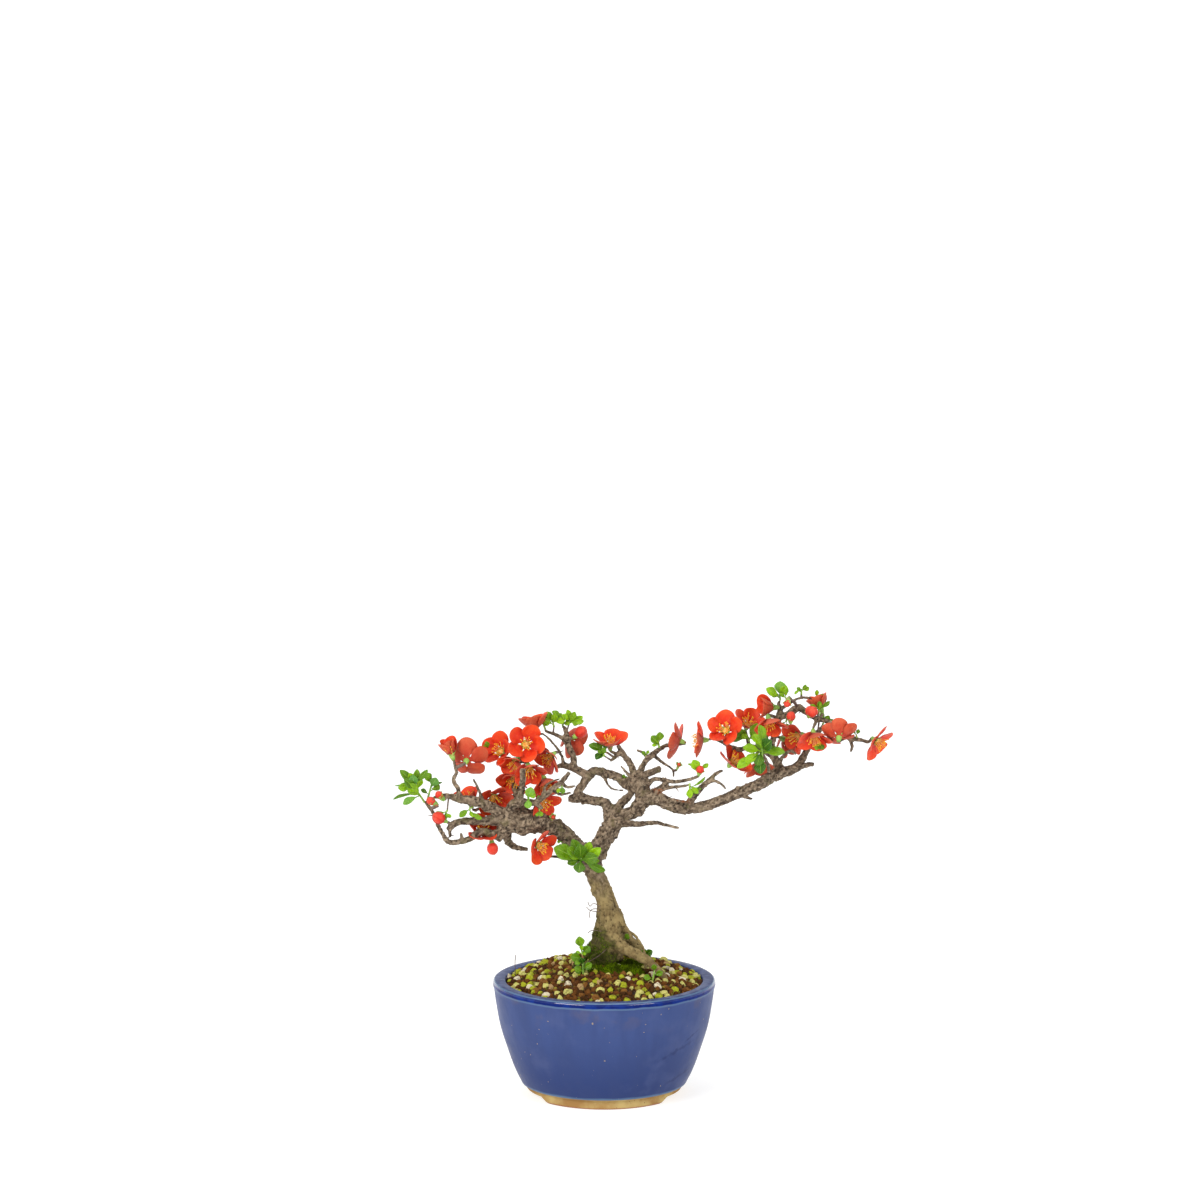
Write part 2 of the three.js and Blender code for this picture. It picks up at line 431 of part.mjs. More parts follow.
function sidesFor(radius) {
  if (radius > 7) {
    return 8;
  }
  return radius > 3.2 ? 6 : radius > 1.9 ? 4 : 3;
}

// The point on the wood nearest to `target`, measured from its surface
function nearestWood(target) {
  let best = { distance: Infinity };
  for (const points of Object.values(WOOD)) {
    for (let i = 0; i + 1 < points.length; i += 1) {
      for (let step = 0; step < 4; step += 1) {
        const spot = points[i].map((value, k) => THREE.MathUtils.lerp(value, points[i + 1][k], step / 4));
        const centre = new THREE.Vector3(spot[0], spot[1], spot[2]);
        const distance = centre.distanceTo(target) - spot[3];
        if (distance < best.distance) {
          best = { distance, centre, radius: spot[3] };
        }
      }
    }
  }
  return best;
}

// The free end of a branch nearest to `target`, if a stalk to it goes on without a sharp bend
function nearestTip(target, rods, taken) {
  let best = { distance: TIP_REACH };
  for (const name of Object.keys(WOOD).filter((wood) => !taken.has(wood))) {
    const [before, tip] = rods[name].slice(-2).map((point) => new THREE.Vector3(...point));
    const distance = tip.distanceTo(target);
    const bend = tip.clone().sub(before).angleTo(target.clone().sub(tip));
    if (distance < best.distance && bend < SHARPEST_BEND) {
      best = { distance, name };
    }
  }
  return best.name;
}

// Every branch, and a stalk for each bloom, bud and shoot. A stalk makes the branch longer whose
// end is near, or else it grows as a short spur from the side of the nearest wood
function woodRods() {
  const rods = {};
  for (const [name, points] of Object.entries(WOOD)) {
    rods[name] = bends(points, BEND);
  }
  const shoots = Object.entries(SHOOTS).filter(([name]) => name.startsWith('leaves'));
  const flowers = Object.entries({ ...BLOOMS, ...BUDS });
  const stalks = flowers.map((entry) => [...entry, PEDUNCLE_RADIUS]);
  stalks.push(...shoots.map((entry) => [...entry, SHOOT_RADIUS]));
  const taken = new Set();
  for (const [name, { base, face }, radius] of stalks) {
    const end = new THREE.Vector3(...base).addScaledVector(direction(face), -GAP - 0.05);
    const tip = nearestTip(end, rods, taken);
    if (tip) {
      taken.add(tip);
      rods[tip].push([...end.toArray(), radius]);
    } else {
      const from = nearestWood(end);
      const start = [...from.centre.toArray(), Math.min(radius * 1.25, from.radius)];
      rods[`${name}_spur`] = [start, [...end.toArray(), radius]];
    }
  }
  return rods;
}

function treeSolid(grow) {
  const rods = Object.entries(woodRods()).map(([name, points]) => {
    const widest = Math.max(...points.map((point) => point[3]));
    return rod(name, points, sidesFor(widest), BARK_RELIEF, grow);
  });
  return mainBody(joined(rods));
}

// A thin blade: `place(along, across)` gives its middle surface. It starts at a point, and its
// triangles fan out from a spot on its midrib, alike on both faces, a blade's thickness apart
function bladeSolid(edge, place, middle, thick) {
  const pointed = edge[edge.length - 1][1] === 0;
  const right = edge.map(([u, w]) => place(u, w));
  const left = edge.slice(1, pointed ? -1 : edge.length).map(([u, w]) => place(u, -w));
  const rim = [...right, ...left.reverse()];
  const points = [...rim, place(middle, 0)];
  const span = new THREE.Vector3().subVectors(right[1], rim[rim.length - 1]);
  const run = new THREE.Vector3().subVectors(right[right.length - 1], right[0]);
  const shift = span.cross(run).normalize().multiplyScalar(thick / 2);
  const count = points.length;
  const corners = [...points.map((p) => p.clone().add(shift)), ...points.map((p) => p.clone().sub(shift))];
  const index = [];
  for (let i = 0; i < rim.length; i += 1) {
    const next = (i + 1) % rim.length;
    index.push(count - 1, i, next, 2 * count - 1, next + count, i + count);
    index.push(next, i, i + count, next, i + count, next + count);
  }
  return solidOf(geometryOf(corners, index));
}

// The middle surface of one cupped petal, `lean` from the flower's axis, as a function of how far
// along and across it a point is. It is as wide as it can be beside its neighbours
function petalSurface(spec, edge, frame, out, lean, size, half) {
  const across = new THREE.Vector3().crossVectors(frame.forward, out);
  const radial = (u, w) => {
    const mean = lean + PETAL_CURL * (0.45 - u / 2);
    const cup = size * PETAL_CUP * w * w * Math.cos(lean + PETAL_CURL * (0.45 - u));
    return CALYX_RADIUS * 0.6 + size * u * Math.sin(mean) - cup;
  };
  const sector = Math.tan(Math.PI / PETALS);
  const room = edge.map(([u, w]) => (sector * (radial(u, w) - half * Math.cos(lean)) - PETAL_MARGIN) / w);
  const width = Math.min(size * 0.39, ...room);
  return (u, w) => {
    const tilt = lean + PETAL_CURL * (0.45 - u);
    const mean = lean + PETAL_CURL * (0.45 - u / 2);
    const rise = CALYX_HEIGHT - 0.9 + size * (u * Math.cos(mean) + PETAL_CUP * w * w * Math.sin(tilt));
    const spot = new THREE.Vector3(...spec.base).addScaledVector(out, radial(u, w));
    return spot.addScaledVector(frame.forward, rise).addScaledVector(across, w * width);
  };
}

// A flower without its stamens: five petals that grow from the five sides of the calyx's rim.
// Every petal has an upper and a lower face with the same triangles, and a narrow edge between
function corollaSolid(name, spec, frame, grow) {
  const { forward } = frame;
  const random = randomStream(name);
  const start = new THREE.Vector3(...spec.base);
  const half = PETAL_THICK / 2 + grow;
  const open = THREE.MathUtils.degToRad(spec.open);
  const step = 2 * Math.PI / PETALS;
  const sides = spec.fine ? PETAL_EDGE : PLAIN_PETAL_EDGE;
  const corners = [];
  const index = [];
  for (let i = 0; i < PETALS; i += 1) {
    const out = outward(frame, (i - 0.5) * step);
    const away = out.clone().multiplyScalar(Math.cos(open)).addScaledVector(forward, -Math.sin(open));
    const rim = start.clone().addScaledVector(forward, CALYX_HEIGHT);
    rim.addScaledVector(out, CLAW_RADIUS + grow);
    const foot = start.clone().addScaledVector(forward, -grow);
    foot.addScaledVector(out, CALYX_FOOT * CALYX_RADIUS + grow);
    corners.push(rim.clone().addScaledVector(away, -half), rim.clone().addScaledVector(away, half), foot);
  }
  const upper = (i) => 3 * (i % PETALS);
  const lower = (i) => 3 * (i % PETALS) + 1;
  const root = (i) => 3 * (i % PETALS) + 2;
  for (let i = 0; i < PETALS; i += 1) {
    index.push(lower(i + 1), lower(i), root(i), lower(i + 1), root(i), root(i + 1));
    if (i > 0 && i + 1 < PETALS) {
      index.push(upper(0), upper(i), upper(i + 1), root(0), root(i + 1), root(i));
    }
    const out = outward(frame, i * step);
    const lean = open + THREE.MathUtils.degToRad(14) * (random() - 0.5);
    const size = spec.size * (0.94 + 0.1 * random()) + grow;
    const place = petalSurface(spec, sides, frame, out, lean, size, half);
    const away = out.clone().multiplyScalar(Math.cos(lean)).addScaledVector(forward, -Math.sin(lean));
    const line = [...sides.map(([u, w]) => place(u, -w)), ...sides.map(([u, w]) => place(u, w)).reverse()];
    if (spec.fine) {
      line.splice(sides.length, 0, place(1, 0));
    }
    line.push(place(0.6, 0));
    const first = corners.length;
    const count = line.length;
    corners.push(...line.map((p) => p.clone().addScaledVector(away, -half)));
    corners.push(...line.map((p) => p.clone().addScaledVector(away, half)));
    const top = [upper(i), ...line.slice(0, -1).map((p, k) => first + k), upper(i + 1)];
    const under = [lower(i), ...line.slice(0, -1).map((p, k) => first + count + k), lower(i + 1)];
    const middle = first + count - 1;
    for (let k = 0; k < top.length; k += 1) {
      const next = (k + 1) % top.length;
      index.push(middle, top[k], top[next], middle + count, under[next], under[k]);
      if (next > 0) {
        index.push(top[next], top[k], under[k], top[next], under[k], under[next]);
      }
    }
  }
  return solidOf(geometryOf(corners, index));
}

// Filaments that spread from the middle of a flower, each ending in a thicker anther
function filaments(name, base, frame, count, reach, grow) {
  const random = randomStream(`${name}_filaments`);
  const rods = [];
  for (let i = 0; i < count; i += 1) {
    const around = 2 * Math.PI * (i + 0.3 * random()) / count;
    const spread = 0.15 + 0.35 * random();
    const length = reach * (0.8 + 0.3 * random());
    const out = outward(frame, around);
    const foot = new THREE.Vector3(...base).addScaledVector(frame.forward, CALYX_HEIGHT + 0.2);
    foot.addScaledVector(out, 0.8);
    const tip = foot.clone().addScaledVector(frame.forward, length * Math.cos(spread));
    tip.addScaledVector(out, length * Math.sin(spread));
    rods.push(rod(name, [[...foot.toArray(), 0.4], [...tip.toArray(), 0.75]], 3, 0, grow));
  }
  return rods;
}

function calyx(name, base, forward, radius, grow) {
  const start = new THREE.Vector3(...base);
  const points = [[0, radius * CALYX_FOOT], [CALYX_HEIGHT, radius]];
  const rings = points.map(([rise, size]) => {
    return [...start.clone().addScaledVector(forward, rise).toArray(), size];
  });
  return rod(name, rings, 5, 0, grow);
}

// A flower with two stout stamens, or without any where they are a body of their own or where the
// petals turn their backs
function bloomSolid(name, spec, grow) {
  const frame = frameAlong(direction(spec.face), THREE.MathUtils.degToRad(spec.turn));
  const corolla = corollaSolid(name, spec, frame, grow);
  if (spec.tuft || spec.face[1] < 0) {
    return corolla;
  }
  return joined([corolla, ...filaments(name, spec.base, frame, 2, 6, grow)]);
}

// The stamens of a flower as a body of their own, on a disc that sits in the calyx
function tuftSolid(name, spec, grow) {
  const forward = direction(spec.face);
  const frame = frameAlong(forward, THREE.MathUtils.degToRad(spec.turn));
  const seat = CALYX_HEIGHT + PETAL_THICK / 2 + GAP;
  const start = new THREE.Vector3(...spec.base).addScaledVector(forward, seat);
  const end = start.clone().addScaledVector(forward, 0.8);
  const disc = rod(name, [[...start.toArray(), 1.2], [...end.toArray(), 1.2]], 5, 0, grow);
  const raised = new THREE.Vector3(...spec.base).addScaledVector(forward, seat - CALYX_HEIGHT + 0.1);
  return joined([disc, ...filaments(name, raised.toArray(), frame, 5, 6.5, grow)]);
}

// A closed bud: five petals wrapped over each other, as lobes of a rounded body, in its calyx
function budSolid(name, spec, grow) {
  const forward = direction(spec.face);
  const frame = frameAlong(forward, 0);
  const radius = spec.size / 2;
  const geometry = new THREE.SphereGeometry(1, 10, 4);
  const position = geometry.attributes.position;
  const centre = new THREE.Vector3(...spec.base).addScaledVector(forward, 3 + radius * 0.9);
  for (let i = 0; i < position.count; i += 1) {
    const [x, y, z] = [position.getX(i), position.getY(i), position.getZ(i)];
    const lobe = Math.hypot(x, z) < 1e-3 ? 1 : 1 + 0.09 * Math.cos(PETALS * Math.atan2(z, x) + 1.5 * y);
    const place = centre.clone().addScaledVector(frame.side, x * (radius + grow) * lobe);
    place.addScaledVector(frame.up, z * (radius + grow) * lobe);
    place.addScaledVector(forward, y * (radius * 1.15 + grow));
    position.setXYZ(i, place.x, place.y, place.z);
  }
  const cup = calyx(name, spec.base, forward, Math.min(CALYX_RADIUS, radius * 0.8), grow);
  return solidOf(geometry).add(cup);
}

// One leaf: an obovate blade, folded a little along its midrib and arched along its length
function leafSolid(start, [angle, toward, length, width, roll], grow) {
  const along = direction([angle, toward]);
  const frame = frameAlong(along, 0);
  const viewer = new THREE.Vector3(0, -1, 0.2);
  const face = viewer.addScaledVector(along, -viewer.dot(along)).normalize();
  face.applyAxisAngle(along, THREE.MathUtils.degToRad(roll));
  const across = new THREE.Vector3().crossVectors(along, face).normalize();
  const reach = length + grow;
  const half = width / 2 + grow;
  const place = (u, w) => {
    const fold = Math.abs(w) * half * 0.32;
    const arch = length * 0.16 * (u - u * u) * 2;
    const spot = start.clone().addScaledVector(along, u * reach).addScaledVector(across, w * half);
    return spot.addScaledVector(face, fold + arch);
  };
  const thick = LEAF_THICK + 2 * grow;
  const small = length < SMALL_LEAF;
  return bladeSolid(small ? SMALL_LEAF_EDGE : LEAF_EDGE, place, 0.5, thick);
}

function shootSolid(name, spec, grow) {
  const forward = direction(spec.face);
  const start = new THREE.Vector3(...spec.base);
  const end = start.clone().addScaledVector(forward, spec.length);
  const stem = [[...start.toArray(), SHOOT_RADIUS * 1.1], [...end.toArray(), SHOOT_RADIUS * 0.9]];
  const solids = [rod(name, stem, 3, 0, grow)];
  spec.leaves.forEach((leaf, i) => {
    const along = 0.25 + 0.7 * i / Math.max(1, spec.leaves.length - 1);
    const foot = start.clone().addScaledVector(forward, spec.length * along);
    foot.addScaledVector(direction([leaf[0], leaf[1]]), 0.1);
    solids.push(leafSolid(foot, leaf, grow));
  });
  if (spec.bud) {
    solids.push(budSolid(`${name}_bud`, spec.bud, grow));
  }
  return mainBody(joined(solids));
}

// The pot, turned on a wheel: foot ring, bowl, rounded lip, and the hollow inside
function potProfile() {
  const lip = RIM_RADIUS;
  const inner = RIM_RADIUS - RIM_WIDTH;
  const bowl = [[54.6, 6.9], [61.5, 20], [68, 38], [72.6, 62]];
  const rim = [[lip, 72], [lip, 75.8], [lip - 1.2, POT_HEIGHT], [inner, POT_HEIGHT - 0.6]];
  const inside = [[inner, 60], [inner - 6, 36], [44, FLOOR_TOP]];
  const ring = FOOT_RADIUS - FOOT_RING;
  const floor = [[DRAIN_RADIUS, FLOOR_TOP], [DRAIN_RADIUS, FOOT_HEIGHT], [ring, FOOT_HEIGHT]];
  const foot = [[ring, 0], [FOOT_RADIUS, 0], [FOOT_RADIUS, FOOT_HEIGHT - 0.6]];
  const turned = [...foot, ...bowl, ...rim, ...inside, ...floor];
  return [...turned, turned[0]].map(([r, z]) => new THREE.Vector2(r, z));
}

function turnedSolid(profile, sides) {
  const geometry = new THREE.LatheGeometry(profile, sides);
  geometry.rotateX(Math.PI / 2);
  return solidOf(geometry);
}

function potSolid() {
  let pot = turnedSolid(potProfile(), POT_SIDES);
  for (const degrees of [-19.5, -160.5, 90]) {
    const angle = THREE.MathUtils.degToRad(degrees);
    const notch = new THREE.BoxGeometry(FOOT_RING * 3, NOTCH_WIDTH, NOTCH_HEIGHT * 2);
    const corner = notch.attributes.position;
    for (let i = 0; i < corner.count; i += 1) {
      const inset = NOTCH_SLOPE * corner.getZ(i) * Math.sign(corner.getY(i));
      corner.setY(i, corner.getY(i) - inset);
    }
    notch.rotateZ(angle);
    notch.translate(FOOT_RADIUS * Math.cos(angle), FOOT_RADIUS * Math.sin(angle), 0);
    pot = pot.subtract(solidOf(notch));
  }
  return pot;
}

// The square of mesh that keeps the soil from the drain hole
function drainMeshSolid() {
  const plate = new THREE.BoxGeometry(MESH_SIDE, MESH_SIDE, MESH_THICK);
  plate.translate(0, 0, FLOOR_TOP + GAP + MESH_THICK / 2);
  const pitch = (MESH_SIDE - MESH_BAR) / MESH_HOLES;
  const holes = [];
  for (let i = 0; i < MESH_HOLES * MESH_HOLES; i += 1) {
    const hole = new THREE.BoxGeometry(pitch - MESH_BAR, pitch - MESH_BAR, 4 * MESH_THICK);
    const x = (i % MESH_HOLES - (MESH_HOLES - 1) / 2) * pitch;
    const y = (Math.floor(i / MESH_HOLES) - (MESH_HOLES - 1) / 2) * pitch;
    hole.translate(x, y, FLOOR_TOP + GAP);
    holes.push(solidOf(hole));
  }
  return solidOf(plate).subtract(joined(holes));
}

// Height of the soil at a distance from the axis
function soilHeight(radius) {
  const inner = RIM_RADIUS - RIM_WIDTH - GAP;
  const part = Math.min(1, radius / inner);
  return SOIL_CROWN - (SOIL_CROWN - SOIL_EDGE) * (0.25 * part + 0.75 * part * part);
}

// The soil fills the pot, heaped up to the trunk, with the relief of its coarse grains
function soilSolid() {
  const inner = RIM_RADIUS - RIM_WIDTH - GAP;
  const profile = [[0, FLOOR_TOP + GAP], [43.6, FLOOR_TOP + GAP], [inner - 6, 36.2], [inner, 60.1]]
    .map(([r, z]) => new THREE.Vector2(r, z));
  for (let i = 0; i <= SOIL_RINGS; i += 1) {
    const radius = inner * (1 - i / SOIL_RINGS);
    profile.push(new THREE.Vector2(radius, soilHeight(radius)));
  }
  const geometry = new THREE.LatheGeometry(profile, SOIL_SIDES);
  geometry.rotateX(Math.PI / 2);
  const position = geometry.attributes.position;
  for (let i = 0; i < position.count; i += 1) {
    const [x, y, z] = [position.getX(i), position.getY(i), position.getZ(i)];
    const radius = Math.hypot(x, y);
    if (z > SOIL_EDGE - 1 && radius < inner - 1 && radius > 1) {
      const grain = Math.sin(Math.round(x * 10) * 12.9898 + Math.round(y * 10) * 78.233) * 43758.5453;
      position.setZ(i, z + GRAIN_RELIEF * (grain - Math.floor(grain) - 0.5) * 2);
    }
  }
  return solidOf(geometry);
}

function clearOf(solid, others) {
  let left = solid;
  for (const other of others) {
    if (boxesMeet(left, other)) {
      left = left.subtract(other);
    }
  }
  return mainBody(left);
}

const tree = treeSolid(0);
const roomForTree = treeSolid(GAP);
const roomForOthers = [roomForTree];

addNode('pot', potSolid(), MATERIALS.glaze);
addNode('drain_mesh', drainMeshSolid(), MATERIALS.plastic);
addNode('tree', tree, MATERIALS.bark);

function addOrgan(name, make, material) {
  const organ = clearOf(make(0), roomForOthers);
  addNode(name, organ, material);
  roomForOthers.push(make(GAP).add(organ));
}

for (const [name, spec] of Object.entries(BLOOMS)) {
  addOrgan(name, (grow) => bloomSolid(name, spec, grow), MATERIALS.petal);
  if (spec.tuft) {
    addOrgan(`${name}_stamens`, (grow) => tuftSolid(name, spec, grow), MATERIALS.stamen);
  }
}
for (const [name, spec] of Object.entries(BUDS)) {
  addOrgan(name, (grow) => budSolid(name, spec, grow), MATERIALS.bud);
}
for (const [name, spec] of Object.entries(SHOOTS)) {
  addOrgan(name, (grow) => shootSolid(name, spec, grow), MATERIALS.leaf);
}

const pocket = new THREE.BoxGeometry(MESH_SIDE + 2 * GAP, MESH_SIDE + 2 * GAP, 2 * (MESH_THICK + GAP));
pocket.translate(0, 0, FLOOR_TOP + GAP);
addNode('soil', clearOf(soilSolid(), [solidOf(pocket), ...roomForOthers]), MATERIALS.soil);

// The whole plant is set over the middle of its own width and depth
const whole = new THREE.Box3().setFromObject(group);
const middle = whole.getCenter(new THREE.Vector3());
group.children.forEach((node) => node.geometry.translate(-middle.x, -middle.y, -whole.min.z));

export default group;
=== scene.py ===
"""A small flowering quince grown as a bonsai, in a round glazed pot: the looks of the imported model.

Sizes here are in millimetres, counted from the pot's own axis at the height of its foot: +X is to
the right and +Y away from the side that is shown. They become metres of the frame when a piece is
made.
"""

import math

import bpy
import numpy as np
from mathutils import Matrix, Vector, kdtree, noise


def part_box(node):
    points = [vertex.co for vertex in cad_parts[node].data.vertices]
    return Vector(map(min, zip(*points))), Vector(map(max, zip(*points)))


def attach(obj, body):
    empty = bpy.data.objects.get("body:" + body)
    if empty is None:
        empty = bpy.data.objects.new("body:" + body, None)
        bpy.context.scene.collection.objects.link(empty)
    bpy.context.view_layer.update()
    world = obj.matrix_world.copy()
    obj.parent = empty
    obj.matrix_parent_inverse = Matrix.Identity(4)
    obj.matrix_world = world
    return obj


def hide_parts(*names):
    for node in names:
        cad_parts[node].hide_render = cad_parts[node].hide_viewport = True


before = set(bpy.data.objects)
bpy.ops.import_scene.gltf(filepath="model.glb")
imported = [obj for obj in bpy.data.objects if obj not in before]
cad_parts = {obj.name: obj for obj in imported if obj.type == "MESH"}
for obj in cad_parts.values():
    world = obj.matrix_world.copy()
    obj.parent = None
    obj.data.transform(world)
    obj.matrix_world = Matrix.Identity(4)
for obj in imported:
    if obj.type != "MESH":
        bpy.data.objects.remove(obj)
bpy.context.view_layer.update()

pot_low, pot_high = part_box("pot")
POT_AXIS = Vector(((pot_low.x + pot_high.x) / 2, (pot_low.y + pot_high.y) / 2, pot_low.z))
MM = 0.001

# Camera, as the photograph was taken
LENS = 108
SENSOR = 36
CAMERA_SPOT = (-2.83, -2377.66, 621.56)
CAMERA_PITCH = 6.903

# Pot
RIM_RADIUS = 75
POT_HEIGHT = 77
RIM_WIDTH = 8.5
FOOT_RADIUS = 52.3
FOOT_HEIGHT = 6.5
FOOT_RING = 8
FLOOR_TOP = 12
NOTCH_HEIGHT = 3.4
NOTCH_WIDTH = 44
NOTCH_SLOPE = 2
NOTCH_TURNS = (-19.5, -160.5, 90)
DRAIN_RADIUS = 8
POT_SIDES = 160
LIP_FOOT = 71
# Scuffs on the glaze: middle, lean in degrees, half-length and width
SCUFFS = ((46.5, 38.5, 22, 17, 2.6), (49, 18.5, 22, 11, 2.2), (58, 47, 30, 7, 1.6))

# Soil
SOIL_EDGE = 75.6
SOIL_CROWN = 88
SOIL_HEAP = 1.4
SOIL_BACK = 2.6
SOIL_FRONT = 1.2
SOIL_SIDES = 96
SOIL_RINGS = 40
BED_DROP = 1.6
# Piece, spacing, radius, how chipped, faces, darkest and palest tint
GRAINS = (
    ("soil_crumbs", 2.35, 1.5, 1.6, 1, 0.0, 0.62),
    ("soil_grains", 4.3, 2.5, 2.8, 2, 0.05, 0.92),
    ("soil_pumice", 10.5, 3.2, 3.4, 2, 0.62, 1.0),
)
GRAIN_SEED = 4
# Where each shade of grain starts in the tint, and the shade
GRAIN_SHADES = (
    (0.0, (88, 52, 20)), (0.2, (108, 66, 26)), (0.42, (68, 42, 16)), (0.6, (128, 86, 40)),
    (0.67, (202, 198, 116)), (0.78, (166, 172, 42)), (0.9, (220, 210, 182)), (0.96, (172, 142, 98)),
)

# Wood: a point of a branch is a bend where it lies this far from the straight line
BEND = 1.2
# How far a stalk may reach on from the tip of a branch, and how sharply it may turn there
TIP_REACH = 12
SHARPEST_BEND = math.radians(75)
# What stays free between a stalk and its bloom or shoot
GAP = 0.35
BARK_CELL = 0.72
FINE_TWIG = 1.25
PEDUNCLE_RADIUS = 1.05
SHOOT_RADIUS = 0.7
KNOBS = 600
KNOBS_FROM = 118
THORNS = 46
THORNS_FROM = 165
HAIR_RADIUS = 0.26
# The rust-brown streak on the right-hand branch: middle, lean in degrees, half-length, width
RUST = ((44, -6, 203.5), -17, 17, 3.6)

# Blooms and leaves
PETALS = 5
PETAL_THICK = 0.34
PETAL_CURL = math.radians(26)
PETAL_CUP = 0.09
CALYX_HEIGHT = 4.5
CALYX_RADIUS = 2.2
LEAF_THICK = 0.32
LEAF_FOLD = 0.32
LEAF_ARCH = 0.16
STAMENS = 24
FILAMENT_RADIUS = 0.15
FILAMENT_SHORTEST = 5.2
FILAMENT_SPREAD = 2.9
ANTHER_RADIUS = 0.54
SEPAL_LENGTH = 2.1
SEPAL_HALF_WIDTH = 1.05
MOSS_LEAF_RADIUS = 0.34

# Floor: how far out and how high it is, from its flat middle to its low wall
FLOOR_SWEEP = ((100, 0), (300, 0), (900, 0), (2500, 0), (4200, 0), (4700, 130), (4950, 400), (5000, 800),
               (5000, 1500))
FLOOR_SIDES = 72

